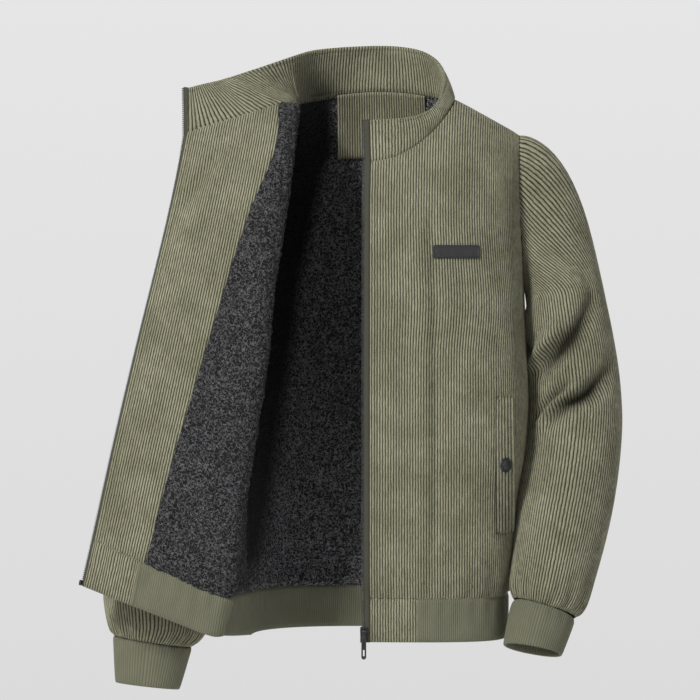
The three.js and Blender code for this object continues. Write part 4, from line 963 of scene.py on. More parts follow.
def curledPile(piece, spec, material):
    sizes = {"Curls": spec["curls"], "Depth": spec["depth"], "Tangle": spec["tangle"]}
    tree = newTree("curledPile", sizes)
    nodes, link = tree.nodes, tree.links.new
    start, end = nodes.new("NodeGroupInput"), nodes.new("NodeGroupOutput")
    place, normal = nodes.new("GeometryNodeInputPosition"), nodes.new("GeometryNodeInputNormal")
    tangle = nodes.new("ShaderNodeTexNoise")
    tangle.inputs["Scale"].default_value = 150
    shifted = nodes.new("ShaderNodeVectorMath")
    shifted.operation = "MULTIPLY_ADD"
    curls = nodes.new("ShaderNodeTexVoronoi")
    curls.feature = "SMOOTH_F1"
    curls.inputs["Smoothness"].default_value = 0.5
    rise = nodes.new("ShaderNodeMapRange")
    rise.inputs["From Min"].default_value = 0.1
    rise.inputs["From Max"].default_value = 0.75
    rise.inputs["To Min"].default_value = 0.6
    rise.inputs["To Max"].default_value = -0.4
    lift = nodes.new("ShaderNodeMath")
    lift.operation = "MULTIPLY"
    face = nodes.new("GeometryNodeInputNamedAttribute")
    face.data_type = "FLOAT"
    face.inputs["Name"].default_value = "pile"
    seen = nodes.new("ShaderNodeMath")
    seen.operation = "MULTIPLY"
    push = nodes.new("ShaderNodeVectorMath")
    push.operation = "SCALE"
    move = nodes.new("GeometryNodeSetPosition")
    link(place.outputs[0], tangle.inputs["Vector"])
    link(tangle.outputs["Color"], shifted.inputs[0])
    link(start.outputs["Tangle"], shifted.inputs[1])
    link(place.outputs[0], shifted.inputs[2])
    link(shifted.outputs[0], curls.inputs["Vector"])
    link(start.outputs["Curls"], curls.inputs["Scale"])
    link(curls.outputs["Distance"], rise.inputs["Value"])
    link(rise.outputs[0], lift.inputs[0])
    link(start.outputs["Depth"], lift.inputs[1])
    link(lift.outputs[0], seen.inputs[0])
    link(face.outputs[0], seen.inputs[1])
    link(normal.outputs[0], push.inputs[0])
    link(seen.outputs[0], push.inputs["Scale"])
    link(start.outputs["Geometry"], move.inputs["Geometry"])
    link(push.outputs[0], move.inputs["Offset"])
    real, paint = nodes.new("GeometryNodeRealizeInstances"), nodes.new("GeometryNodeSetMaterial")
    paint.inputs["Material"].default_value = material
    link(move.outputs[0], real.inputs[0])
    link(real.outputs[0], paint.inputs["Geometry"])
    link(paint.outputs[0], end.inputs["Geometry"])
    applyTree(piece, "curls", tree, sizes)


def bakeModifiers(piece):
    shown = piece.evaluated_get(bpy.context.evaluated_depsgraph_get())
    mesh = bpy.data.meshes.new_from_object(shown)
    piece.modifiers.clear()
    piece.data = mesh


def fleeceLayer(name, points, uv, thick, fromEdge, finish):
    flatEdge = hollowLine(fromEdge, 1.4, 4.5)
    piece = clothWall(name, points, uv, flatEdge, thick, finish, skip=3)
    pile = piece.data.attributes.new("pile", "FLOAT", "POINT")
    columns, rows = points.shape[:2]
    where = np.zeros(len(piece.data.vertices) * 3)
    piece.data.vertices.foreach_get("co", where)
    inward = np.zeros(len(piece.data.vertices) * 3)
    piece.data.vertices.foreach_get("normal", inward)
    grown = np.zeros(len(piece.data.vertices), np.float32)
    face = points + gridNormals(points) * flatEdge[..., None]
    lookup = {tuple(p): i for i, p in enumerate(np.round(face.reshape(-1, 3), 1).tolist())}
    for i, p in enumerate(np.round(where.reshape(-1, 3) * 1000, 1).tolist()):
        grown[i] = 1.0 if tuple(p) in lookup else 0.0
    pile.data.foreach_set("value", grown)
    curledPile(piece, {"curls": 200.0, "depth": 0.0026, "tangle": 0.004}, finishes[finish])
    for polygon in piece.data.polygons:
        polygon.use_smooth = True
    return piece


lining = {"gap": 3.3, "face": 6.4, "columns": 178, "rows": 212, "flat": (0.58, 0.66), "area": 0.335}
liningShare = np.linspace(0.004, 0.996, lining["columns"] + 1)[::-1][:, None]
liningTop = topOf("back", liningShare) - seam
foot = hemSeam - sewnIn
liningRows = np.linspace(0, 1, lining["rows"] + 1)[None, :] ** 0.9
h = foot + (liningTop - foot) * liningRows
share = liningShare + 0 * h
behind = bodyPoint("back", share, h)
inward = gridNormals(behind)
liningWide = 560  # from side seam to side seam
broad = bumps(31, 40, (0, liningWide), (-600, 20), 38)(share * liningWide, h) * 1.6 * ease(liningTop - h, 0, 40)
points = behind + inward * (lining["face"] + broad[..., None])
edges = np.minimum(np.minimum(share, 1 - share) * liningWide, liningTop - h)
backLining = fleeceLayer("backLining", points, np.stack([share * liningWide, h], -1), lining["face"] - lining["gap"],
                         edges, "backFleecePaintedLighter")
# painted shadow: the back lining goes near-black beside the turned-open front and up to the neck patch
shadow = {"z": [-700, -613, -584, -484, -384, -315, -232, -135, -85, -60, 40],
          "x": [-172, -163, -149, -134, -123, -113, -104, -84, -72, -60, -56], "soft": 13}
shadePiece(backLining, lambda x, y, z, ny: 1 - ease(x - np.interp(z, shadow["z"], shadow["x"]),
                                                    -shadow["soft"], shadow["soft"]))
declare(backLining, ["back_lining"])

sideLining = {"gap": 2.9, "face": 6.4, "columns": 112, "rows": 214, "flat": (0.34, 0.58), "area": 0.112}
liningFront = OpenFront(np.linspace(0.0012, 0.9975, sideLining["rows"] + 1), 20)
wideHere = read(facingWidths, "share", liningFront.shares, "wide")
reach = liningFront.total - wideHere - seam
fraction = np.linspace(0.006, 1, sideLining["columns"] + 1)[::-1][:, None]
points = liningFront.at(fraction * reach[None, :])
inward = gridNormals(points)
away = liningFront.total[None, :] - fraction * reach[None, :]
shareHere = liningFront.shares[None, :] + 0 * away
lift = sideLining["face"] - openSoft(away, shareHere)
points = points + inward * lift[..., None]
edges = np.minimum(np.minimum(reach[None, :] * (1 - fraction), openTall * (1 - shareHere)), openTall * shareHere)
openLining = fleeceLayer("openLining", points, np.stack([away, shareHere * openTall], -1),
                         sideLining["face"] - sideLining["gap"], edges, "fleece")
declare(openLining, ["right_lining"])

# Neck patch on the fleece, with its wales hanging straight
patch = {"half": 61, "shift": 4, "foot": -67, "depth": 9.4, "thick": 2.4, "flat": (0.124, 0.09)}
across = np.arange(-patch["half"], patch["half"], step)[:, None] - patch["shift"]
rows = np.linspace(0, 1, 22)[None, :]
top = topOf("back", 0.5 + across / backLength[-1]) - seam
patchX = onSection("back", 0.5 + across / backLength[-1], bend)[..., 0]
patchFoot = heightOfZ(patchX, neck["backCrown"], patch["foot"])
h = top + 1 - (top + 1 - patchFoot) * (1 - rows)
behind = bodyPoint("back", 0.5 + across / backLength[-1] + 0 * h, h)
points = (behind - gridNormals(behind) * patch["depth"])[::-1]
off = across[::-1] + patch["shift"]
edgeGap = np.minimum(np.minimum(patch["half"] - off, patch["half"] + off), (h - h[:, :1])[::-1] * 1.4)
relief = waleRelief(off + 0 * h, wale) + hollowLine(edgeGap - 3.5, 0.6, 1.2) + hollowLine(edgeGap, 1.2, 1.4)
neckPatch = clothWall("neckPatch", points, np.stack([off + 0 * h, h], -1), relief, patch["thick"], "corduroy")
declare(neckPatch, ["neck_patch"])

# Sleeves: rings from the shoulder to the cuff, a cap that curves in to the armhole, and pressed folds with painted
# shade in their troughs
leftRings = {
    "inX": [193, 195, 197, 199, 199, 195, 189, 182, 176, 173, 177],
    "inZ": [-264, -300, -335, -372, -405, -450, -493, -534, -582, -614, -632],
    "outX": [291, 302, 310, 314, 314, 310, 303, 293, 280, 269, 256],
    "outZ": [-244, -296, -344, -390, -425, -470, -515, -560, -606, -638, -655],
    "midY": [2, 0, -1, -5, -12, -26, -40, -53, -65, -72, -76],
    "deep": [61, 63, 62.5, 61.5, 60, 58, 55, 52, 49, 46, 38],
}
rightRings = {
    "inX": [193, 196, 200, 204, 208, 212, 214, 218, 236],
    "inZ": [-264, -330, -400, -470, -540, -600, -646, -682, -702],
    "outX": [274, 292, 308, 323, 337, 348, 351, 346, 338],
    "outZ": [-246, -320, -394, -468, -538, -596, -636, -666, -687],
    "midY": [4, 10, 12, 11, 8, 3, 0, -2, -3],
    "deep": [61, 62, 61, 59, 56, 54, 51, 48, 40],
}
leftCuff = {"inX": [178, 173, 165], "inZ": [-634, -650, -688], "outX": [254, 249, 238], "outZ": [-657, -671, -701],
            "midY": [-76.5, -81, -90], "deep": [36.5, 36, 35]}
rightCuff = {"inX": [236.5, 242, 252], "inZ": [-702.5, -720, -756], "outX": [337.5, 336, 334],
             "outZ": [-687.6, -706, -747], "midY": [-3, -4, -7], "deep": [39.6, 38, 37]}
leftFolds = [  # round (0 inner seam, 0.25 front), ring, then where it ends; depth in, width
    (0.115, 2.35, 0.36, 0.3, 16, 11), (0.06, 2.25, 0.2, 0.9, -10, 8), (0.1, 4.1, 0.235, 2.6, 11, 6.5),
    (0.16, 4.2, 0.39, 2.05, 16, 11), (0.11, 4.5, 0.255, 2.55, -10, 8), (0.7, 2.2, 0.9, 3.4, 7, 16),
    (0.02, 1.35, 0.1, 1.8, 4, 6),
]
rightFolds = [(0.05, 2.6, 0.3, 1.9, 5, 16), (0.66, 2.4, 0.92, 3.3, 5, 18)]
# dark sets how strong the painted shade in the fold troughs is
sleeve = {"square": 2.15, "girth": 380, "below": 70, "cap": 18, "capIn": 0.8, "thick": 2,
          "full": 7, "dark": 0.95, "flat": (0.42, 0.60), "area": 0.20}


def ringPoint(rings, k, share):
    last = len(rings["inX"]) - 1
    table = {**rings, "i": list(range(last + 1))}

    def row(name, at):
        return read(table, "i", np.clip(at, 0, last), name)
    inner = np.stack([row("inX", k), row("midY", k), row("inZ", k)], -1)
    outer = np.stack([row("outX", k), row("midY", k), row("outZ", k)], -1)

    def drop(name):
        return row(name, k - 0.5) - row(name, k + 0.5)
    lean = np.arctan(2 * drop("midY") / (drop("inZ") + drop("outZ")))
    forward = np.stack([0 * lean, -np.cos(lean), np.sin(lean)], -1) * row("deep", k)[..., None]
    a = share * 2 * math.pi
    c, s = np.cos(a), np.sin(a)
    side = -np.sign(c) * roundCos(a, sleeve["square"])
    ahead = np.sign(s) * roundSin(a, sleeve["square"])
    return (inner + outer) / 2 + (outer - inner) / 2 * side[..., None] + forward * ahead[..., None]


def capPoint(rings, share, s):
    spot = armholePoint(share * 16)
    tip = armholePoint(np.array(8.0))
    high = (spot[..., 2] - underarm) / (tip[2] - underarm)
    away = np.stack([0.25 + 0.75 * high ** 2, 0 * high, -(1 - 0.75 * high ** 2)], -1)
    away = away / np.linalg.norm(away, axis=-1, keepdims=True)
    end = spot - away * sleeve["capIn"]
    first = ringPoint(rings, 0 * share, share)
    rise = first - ringPoint(rings, 0.5 + 0 * share, share)
    rise = rise / np.linalg.norm(rise, axis=-1, keepdims=True)
    span = np.linalg.norm(first - end, axis=-1)[..., None]
    b, c = first + rise * 0.25 * span, end + away * 0.33 * span
    s = s[..., None]
    return first * (1 - s) ** 3 + 3 * b * s * (1 - s) ** 2 + 3 * c * s * s * (1 - s) + end * s ** 3


def makeSleeve(name, rings, folds, mirror, seed, node):
    last = len(rings["inX"]) - 1
    count = round(sleeve["girth"] / wideWale["pitch"]) * wideWale["steps"]
    share = np.linspace(0, 1, count + 1)[:, None]
    low = spread(float(last), sleeve["below"], 0.45)
    lowEnd = 1 - (1 - np.linspace(0, 1, sleeve["cap"] + 1)[1:]) ** 1.5
    shares, ringsAt = np.broadcast_arrays(share, last - low[None, :])
    body = ringPoint(rings, ringsAt, shares)
    cap = capPoint(rings, *np.broadcast_arrays(share, lowEnd[None, :]))
    points = np.concatenate([body, cap], 1)
    normals = gridNormals(points)
    down = np.concatenate([last - low, 0 * lowEnd])[None, :] + 0 * share
    ringStep = (rings["inZ"][0] - rings["inZ"][-1]) / last
    along = walked(points, 1)[count // 4][None, :] + 0 * share
    soft, dark = np.zeros(along.shape), np.zeros(along.shape)
    for round0, down0, round1, down1, deep, wide in folds:
        turn = np.mod(share - round0 + 0.25, 1) - 0.25 + 0 * down
        line = np.array([(round1 - round0) * sleeve["girth"], (down1 - down0) * ringStep])
        here = np.stack([turn * sleeve["girth"], (down - down0) * ringStep], -1)
        s = np.clip((here @ line) / (line @ line), 0, 1)
        gap = np.linalg.norm(here - s[..., None] * line, axis=-1) / wide
        within = np.exp(-gap ** 2) * np.sin((0.15 + 0.7 * s) * math.pi)
        soft -= deep * within
        # painted shade in the troughs of the inward folds
        dark += sleeve["dark"] * deep / 13 * within ** 1.6 if deep > 0 else 0
    across = share * count / wideWale["steps"] * wideWale["pitch"] + 0 * down
    total = along[:, -1:]
    inner = np.exp(-(np.minimum(share, 1 - share) / 0.07) ** 2)
    soft += sleeve["full"] * inner * ease(down, 0, 0.5) * (1 - ease(down, last - 4.5, last - 2))
    soft += pucker(across, along, 21, 2.2, 30, seed) * ease(share, 0, 0.05) * (1 - ease(share, 0.95, 1))
    meeting = ease(share, 0, 0.05) * (1 - ease(share, 0.95, 1))
    soft += bumps(seed, 40, (0, 380), (0, 520), 22)(across, along) * 1.6 * ease(total - along, 0, 60) * meeting
    relief = waleRelief(across, wideWale) + hollowLine(total - along, 1.5, 2.6) + hollowLine(along, 1.3, 2.4)
    points = points + normals * soft[..., None]
    uv = np.stack([across, along], -1)
    if mirror:
        points, uv, relief, dark = points[::-1] * np.array([-1, 1, 1]), uv[::-1], relief[::-1], dark[::-1]
    piece = clothWall(name, points, uv, relief, sleeve["thick"], "wideCorduroy", "fleece", around=True)
    # the painted fold shade goes into the shade attribute
    shadeFrom(piece, points + gridNormals(points) * relief[..., None], np.clip(dark, 0, 1))
    declare(piece, [node])
    return piece


makeSleeve("leftSleeve", leftRings, leftFolds, False, 41, "left_sleeve")
makeSleeve("rightSleeve", rightRings, rightFolds, True, 52, "right_sleeve")

# Collar: one turned-over strip from the outer seam, over the top edge and down inside
collarTop = {
    "at": [0, 20, 40, 60, 80, 100, 120, 140, 160, 180, 200, 220, 240, 270, 300, 330, 350, 360],
    "x": [-2, 34, 60, 79, 87, 87, 77, 58, 32, 4, -30, -62, -87, -112, -145, -186, -217, -233],
    "y": [-99, -94, -77, -50, -20, 12, 36, 50, 58, 61, 58, 48, 29, -4, -33, -54, -63, -66],
    "z": [-32, -30, -24, -9, 17, 38, 56, 68, 74, 76, 75, 72, 67, 55, 40, 24, 16, 12],
}
collar = {"thick": 5, "inset": 0.5, "rows": 26, "belly": 2.2, "stitch": 5.5, "end": 9, "tail": 6,
          "flat": (0.52, 0.062), "area": 0.031}
topRow = OpenFront([0.9994], 60)


def collarSeam(at):
    at = np.asarray(at, float)
    x = np.clip(neck["half"] * np.sin(np.radians(at)), 0.001 - neck["half"], neck["half"] - 0.001)
    spots = {}
    for panel, tall in (("front", -neck["drop"]), ("back", neck["rise"])):
        h = heightOfZ(x, neck[panel + "Crown"], necklineZ(x, tall))
        spots[panel] = bodyPoint(panel, shareOfX(panel, x), h)
    u = (at - 270) / 30
    first, second = topRow.folds[0]
    total = topRow.total[0]
    distance = np.interp(np.clip(u, 0, 3), [0, 1, 2, 3], [0, first, second, total])
    opened = topRow.at(distance[:, None])[:, 0]
    spot = np.where((at <= 90)[:, None], spots["front"], spots["back"])
    spot[:, 0] -= collar["inset"] * np.sin(np.radians(at))
    return np.where((at > 270)[:, None], opened, spot)


fineAt = np.linspace(0, 360, 1441)
middle = (collarSeam(fineAt) + readPoint(collarTop, "at", fineAt)) / 2
smoothed = walked(middle, 0)
collarLength = float(smoothed[-1])
count = int(collarLength / wideWale["pitch"] * wideWale["steps"])
across = np.linspace(0, collarLength, count + 1)
collarAt = np.interp(across, smoothed, fineAt)
foot = collarSeam(collarAt)
head = readPoint(collarTop, "at", collarAt)
kernel = np.hanning(61)
kernel /= kernel.sum()


def smoothAlong(line, weight):
    padded = np.concatenate([2 * line[:1] - line[30:0:-1], line, 2 * line[-1:] - line[-2:-32:-1]])
    blurred = np.stack([np.convolve(padded[:, c], kernel, "valid") for c in range(3)], -1)
    return line + (blurred - line) * weight[:, None]


near = np.exp(-((across - np.interp(270, fineAt, smoothed)) / 60) ** 2)
head = smoothAlong(head, np.maximum(near, 0.5))
tall = np.linalg.norm(head - foot, axis=1)
rows = spread(1.0, collar["rows"], 0.7)
points = foot[:, None] + (head - foot)[:, None] * (0.012 + 0.988 * rows[None, :, None])
normals = gridNormals(points)
risen = rows[None, :] * tall[:, None]
fromHead = tall[:, None] - risen
fromEnd = np.minimum(across, collarLength - across)[:, None] + 0 * risen
wave = bumps(77, 30, (0, 900), (0, 60), 26)(across[:, None] + 0 * risen, risen) * 1.3
dentAt = collarLength - across[:, None]
dent = np.exp(-((dentAt - 62 - 0.35 * risen) / 9) ** 2)
wave -= 3.2 * dent * np.sin(np.clip(risen / tall[:, None], 0, 1) * math.pi)
points = points + normals * ((collar["belly"] * np.sin(rows * math.pi))[None, :]
                             + wave * ease(fromHead, 0, 14) * ease(risen, 0, 12) * ease(fromEnd, 0, 14))[..., None]
relief = waleRelief(across[:, None] + 0 * risen, wideWale) + hollowLine(fromHead - collar["stitch"], 0.9, 1.3)
relief += hollowLine(fromEnd - collar["end"], 0.9, 1.3) + hollowLine(fromEnd, 1.4, 1.6)\
    + hollowLine(risen, 1.2, 2)
collarPoints, collarNormals = points, gridNormals(points)
collarCloth = foldedCloth("collar", points, np.stack([across[:, None] + 0 * risen, risen], -1), relief,
                          collar["thick"], "wideCorduroy", tail=collar["tail"])
# painted shade on the inner face of the collar's right half, near the back neck
shadePiece(collarCloth, lambda x, y, z, ny: 0.95 * ease(-ny, 0.1, 0.5)
           * np.exp(-((x + 74) / 27) ** 2 - ((z - 8) / 32) ** 2))
headRow = int(np.argmin(np.abs(fromHead[count // 2] - collar["stitch"])))
firstColumn = int(collar["end"] / wideWale["pitch"] * wideWale["steps"])
collarFace = collarPoints + collarNormals * (relief[..., None] + 0.1)
collarBack = collarPoints - collarNormals * (collar["thick"] + relief[..., None] + 0.1)
for face, sign in ((collarFace, 1), (collarBack, -1)):
    keepLine(face[firstColumn:-firstColumn, headRow], sign * collarNormals[firstColumn:-firstColumn, headRow])
    for column in (firstColumn, -firstColumn - 1):
        keepLine(face[column, 1:headRow], sign * collarNormals[column, 1:headRow])
declare(collarCloth, ["collar_outer", "collar_inner"])

# Ribbed band and its corduroy tabs; each is double cloth, turned over at its foot
band = {"thick": 4, "inset": 0.6, "rows": 9, "tabWide": 60, "openTabWide": 68}
bandRows = np.linspace(0, 1, band["rows"])
bandZ = hemSeam + 1 + (bandFoot - hemSeam - 1) * bandRows
bandShares = 0.002 + (openShape["bandShare"] - 0.002) * bandRows
bandFront = OpenFront(bandShares, 28)
frontSpan = float(np.interp(hemSeam, heights, frontLength))
backSpan = float(np.interp(hemSeam, heights, backLength))


def bandPoints(where):
    first, second = frontSpan, frontSpan + backSpan
    spots = []
    for w in where:
        if w <= first:
            spots.append(bodyPoint("front", np.full(len(bandZ), w / frontSpan), bandZ))
        elif w <= second:
            spots.append(bodyPoint("back", np.full(len(bandZ), (w - first) / backSpan), bandZ))
        else:
            share = (w - second) / float(bandFront.total[0])
            spots.append(bandFront.at((share * bandFront.total)[None, :])[0])
    return np.array(spots)


def bandStrip(name, start, end, rib, finish, node, seed, tuck=0.0):
    across = np.linspace(start, end, max(int((end - start) / rib["pitch"] * rib["steps"]), 8) + 1)
    points = bandPoints(across)[::-1]
    across = across[::-1, None] + 0 * bandZ[None, :]
    normals = gridNormals(points)
    fromSeam = bandRows[None, :] * 55 + 0 * across
    fromEnd = np.minimum(across - start, end - across)
    soft = -band["inset"] + 0.8 * np.sin(bandRows * math.pi)[None, :] + pucker(across, fromSeam, 19, 1.0, 22, seed)
    soft = soft * ease(fromEnd, 0, 6)
    soft -= (band["inset"] + tuck) * (1 - ease(fromEnd, 0, 6))
    points = points + normals * soft[..., None]
    relief = waleRelief(across, rib) + hollowLine(fromSeam, 0.9, 2.4) + hollowLine(fromEnd, 0.9, 1.2)
    piece = foldedCloth(name, points, np.stack([across, -fromSeam], -1), relief, band["thick"], finish)
    declare(piece, [node])
    return piece


allSpan = frontSpan + backSpan
openSpan = float(bandFront.total[0])
tabEnd = allSpan + openSpan - band["openTabWide"]
bandStrip("hemTabLeft", 0.2, band["tabWide"], wale, "corduroy", "hem_tab_left", 61)
bandStrip("hemRib", band["tabWide"] - 4, tabEnd + 4, ribbing, "rib", "hem_rib", 62, 1.4)
bandStrip("hemTabRight", tabEnd, allSpan + openSpan, wale, "corduroy", "hem_tab_right",
          63)


def makeCuff(name, rings, mirror, node, seed):
    girth = 210
    count = round(girth / ribbing["pitch"]) * ribbing["steps"]
    share = np.linspace(0, 1, count + 1)[:, None]
    down = np.linspace(0, 2, 14)[None, :]
    points = ringPoint(rings, down + 0 * share, share + 0 * down)[::-1]
    across = (share * count / ribbing["steps"] * ribbing["pitch"])[::-1] + 0 * down
    fromSeam = down * 25 + 0 * share
    soft = 0.8 * np.sin(down / 2 * math.pi) + pucker(across, fromSeam, 15, 0.8, 18, seed)
    normals = gridNormals(points)
    points = points + normals * soft[..., None]
    relief = waleRelief(across, ribbing) + hollowLine(fromSeam, 0.9, 2.4)
    if mirror:
        points, across, relief, fromSeam = points[::-1] * np.array([-1, 1, 1]), across[::-1], relief[::-1], fromSeam
    piece = foldedCloth(name, points, np.stack([across, -fromSeam], -1), relief, 4, "rib")
    declare(piece, [node])


makeCuff("leftCuff", leftCuff, False, "left_cuff", 71)
makeCuff("rightCuff", rightCuff, True, "right_cuff", 72)


# Copies set along a path: the zip's teeth and the stitches
def barOf(name, long, wide, high, bevel):
    mesh = bpy.data.meshes.new(name)
    work = bmesh.new()
    bmesh.ops.create_cube(work, size=1)
    for vertex in work.verts:
        vertex.co = Vector((vertex.co.x * long, vertex.co.y * wide, vertex.co.z * high)) / 1000
    bmesh.ops.bevel(work, geom=work.edges[:], offset=bevel / 1000, segments=1, affect="EDGES")
    work.to_mesh(mesh)
    work.free()
    return bpy.data.objects.new(name, mesh)


def repeatTree(name, sizes, seed, shape, material):
    tree = newTree(name, sizes)
    nodes, link = tree.nodes, tree.links.new
    start, end = nodes.new("NodeGroupInput"), nodes.new("NodeGroupOutput")
    spots = nodes.new("GeometryNodeMeshToPoints")
    ahead, outward = (nodes.new("GeometryNodeInputNamedAttribute") for _ in range(2))
    for node, attribute in ((ahead, "along"), (outward, "out")):
        node.data_type = "FLOAT_VECTOR"
        node.inputs["Name"].default_value = attribute
    first, second = (nodes.new("FunctionNodeAlignRotationToVector") for _ in range(2))
    first.axis = "X"
    second.axis, second.pivot_axis = "Z", "X"
    chance = nodes.new("FunctionNodeRandomValue")
    chance.data_type = "FLOAT"
    chance.inputs["Seed"].default_value = seed
    body = nodes.new("GeometryNodeObjectInfo")
    body.inputs["Object"].default_value = shape
    copies, real, paint = (nodes.new(kind) for kind in (
        "GeometryNodeInstanceOnPoints", "GeometryNodeRealizeInstances", "GeometryNodeSetMaterial"))
    paint.inputs["Material"].default_value = material
    link(start.outputs["Geometry"], spots.inputs[0])
    link(ahead.outputs[0], first.inputs["Vector"])
    link(first.outputs[0], second.inputs["Rotation"])
    link(outward.outputs[0], second.inputs["Vector"])
    link(spots.outputs[0], copies.inputs["Points"])
    link(body.outputs["Geometry"], copies.inputs["Instance"])
    link(second.outputs[0], copies.inputs["Rotation"])
    link(start.outputs["Smallest"], chance.inputs[2])
    link(start.outputs["Largest"], chance.inputs[3])
    link(chance.outputs[1], copies.inputs["Scale"])
    link(copies.outputs[0], real.inputs[0])
    link(real.outputs[0], paint.inputs["Geometry"])
    link(paint.outputs[0], end.inputs[0])
    return tree


def evenly(line, outs, pitch):
    along = walked(line, 0)
    at = np.arange(pitch / 2, along[-1], pitch)
    spots = np.stack([np.interp(at, along, line[:, c]) for c in range(3)], -1)
    facing = np.stack([np.interp(at, along, outs[:, c]) for c in range(3)], -1)
    ahead = np.gradient(spots, axis=0)
    return spots, ahead, facing


def repeatAlong(name, lines, pitch, spec, shape, finish):
    parts = [evenly(line, outs, pitch) for line, outs in lines]
    spots, ahead, facing = (np.concatenate([part[k] for part in parts]) for k in range(3))
    mesh = bpy.data.meshes.new(name)
    mesh.from_pydata((spots / 1000).tolist(), [], [])
    for attribute, values in (("along", ahead), ("out", facing)):
        made = mesh.attributes.new(attribute, "FLOAT_VECTOR", "POINT")
        made.data.foreach_set("vector", values.astype(np.float32).ravel())
    piece = linkPiece(name, mesh)
    sizes = {"Smallest": spec["smallest"], "Largest": spec["largest"]}
    tree = repeatTree(name + "Tree", sizes, spec["seed"], shape, finishes[finish])
    applyTree(piece, "copies", tree, sizes)
    for attribute in ("along", "out"):
        if attribute in piece.data.attributes:
            piece.data.attributes.remove(piece.data.attributes[attribute])
    declare(piece, [])
    return piece


# Zip: a tape and a row of teeth on each side, with stops, a slider and its pull
zipper = {"wide": 6, "thick": 1.1, "tooth": 3.4, "depth": 0.6, "pitch": 2.6, "openTurn": 50}
leftLine = [bodyPoint("front", np.zeros(12), np.linspace(bandFoot, hemSeam, 12)),
            bodyPoint("front", np.zeros(120), np.linspace(hemSeam + 4, float(topOf("front", np.array(0.0))) - 1, 120)),
            collarPoints[0, 1:]]
leftLine = np.concatenate(leftLine)
leftOut = np.concatenate([np.tile([0.0, -1, 0], (132, 1)), collarNormals[0, 1:]])
edgeFront = OpenFront(np.linspace(openShape["bandShare"], 0.999, 140), 20)
edgeLine = edgeFront.fromEdge(np.stack([np.full(140, 3.0), np.zeros(140)]))
rightLine = np.concatenate([edgeLine[1], collarPoints[-1, 1:]])
rightOut = np.concatenate([gridNormals(edgeLine)[1], collarNormals[-1, 1:]])


def zipSide(name, line, outs, sign, turn, gap, nodes):
    along = walked(line, 0)
    at = np.linspace(0, along[-1], int(along[-1] / 4))
    spots = np.stack([np.interp(at, along, line[:, c]) for c in range(3)], -1)
    outs = np.stack([np.interp(at, along, outs[:, c]) for c in range(3)], -1)
    outs /= np.linalg.norm(outs, axis=1, keepdims=True)
    ahead = np.gradient(spots, axis=0)
    beyond = np.cross(ahead, outs) * sign
    beyond /= np.linalg.norm(beyond, axis=1, keepdims=True)
    turned = beyond * math.cos(turn) + outs * math.sin(turn)
    across = outs * math.cos(turn) - beyond * math.sin(turn)
    start = spots - outs * zipper["depth"] + beyond * gap
    reach = np.array([zipper["wide"] + 0.8, 5, 3.4, 1.8, -1.2])
    points = start[None] + turned[None] * reach[:, None, None]
    normals = gridNormals(points)
    uv = np.stack(np.broadcast_arrays(reach[:, None], at[None]), -1)
    points = points + normals * zipper["thick"] / 2
    tape = clothWall(name, points, uv, np.zeros(points.shape[:2]), zipper["thick"], "tape", skip=1)
    declare(tape, nodes)
    return start + turned * (zipper["wide"] + zipper["tooth"] / 2), across


leftTeeth = zipSide("leftTape", leftLine, leftOut, -1, 0, seam, ["zip_tape_left"])
rightTeeth = zipSide("rightTape", rightLine, rightOut, 1, math.radians(zipper["openTurn"]), seam + 0.6,
                     ["zip_tape_right"])
tooth = barOf("tooth", 1.5, zipper["tooth"], 2.9, 0.4)
toothSpec = {"smallest": 1.0, "largest": 1.0, "seed": 1}
for name, line in (("leftTeeth", leftTeeth), ("rightTeeth", rightTeeth)):
    repeatAlong(name, [line], zipper["pitch"], toothSpec, tooth, "teeth")


def roundedCopy(node, name, body, finish, bevel):
    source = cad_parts[node]
    mesh = source.data.copy()
    mesh.name = name
    piece = linkPiece(name, mesh, body)
    work = bmesh.new()
    work.from_mesh(mesh)
    bmesh.ops.remove_doubles(work, verts=work.verts, dist=2e-6)
    bmesh.ops.dissolve_limit(work, angle_limit=math.radians(4), verts=work.verts, edges=work.edges)
    work.to_mesh(mesh)
    work.free()
    mesh.materials.clear()
    mesh.materials.append(finishes[finish])
    soften = piece.modifiers.new("edges", "BEVEL")
    soften.width = bevel / 1000
    soften.segments = 2
    soften.limit_method = "ANGLE"
    soften.angle_limit = math.radians(35)
    bakeModifiers(piece)
    for polygon in piece.data.polygons:
        polygon.use_smooth = False
    declare(piece, [node])
    return piece


roundedCopy("zip_slider", "slider", "jacket", "metal", 0.25)
roundedCopy("zip_pull", "pull", "zip_pull", "metal", 0.3)
roundedCopy("zip_stop_left", "leftStop", "jacket", "metal", 0.25)
roundedCopy("zip_stop_right", "rightStop", "jacket", "metal", 0.25)

# Pocket welts: double cloth, sewn along one side and at both ends, with a snap in the middle
welt = {"near": 156, "far": 177, "foot": -548, "top": -377, "stand": 2.5, "lift": 1.0, "thick": 2,
        "flat": (0.030, 0.172)}
openWelt = {"near": 142, "far": 163, "foot": 0.13, "top": 0.4, "stand": 2.9, "flat": (0.020, 0.170)}
weltX = np.arange(welt["near"], welt["far"] + 0.1, wale["pitch"] / 4)[None, :]
weltZ = np.linspace(welt["top"], welt["foot"], 60)[:, None]
weltAt = np.stack(np.broadcast_arrays(weltX, frontY(weltX, weltZ + 0 * weltX), weltZ), -1)
weltLines = []


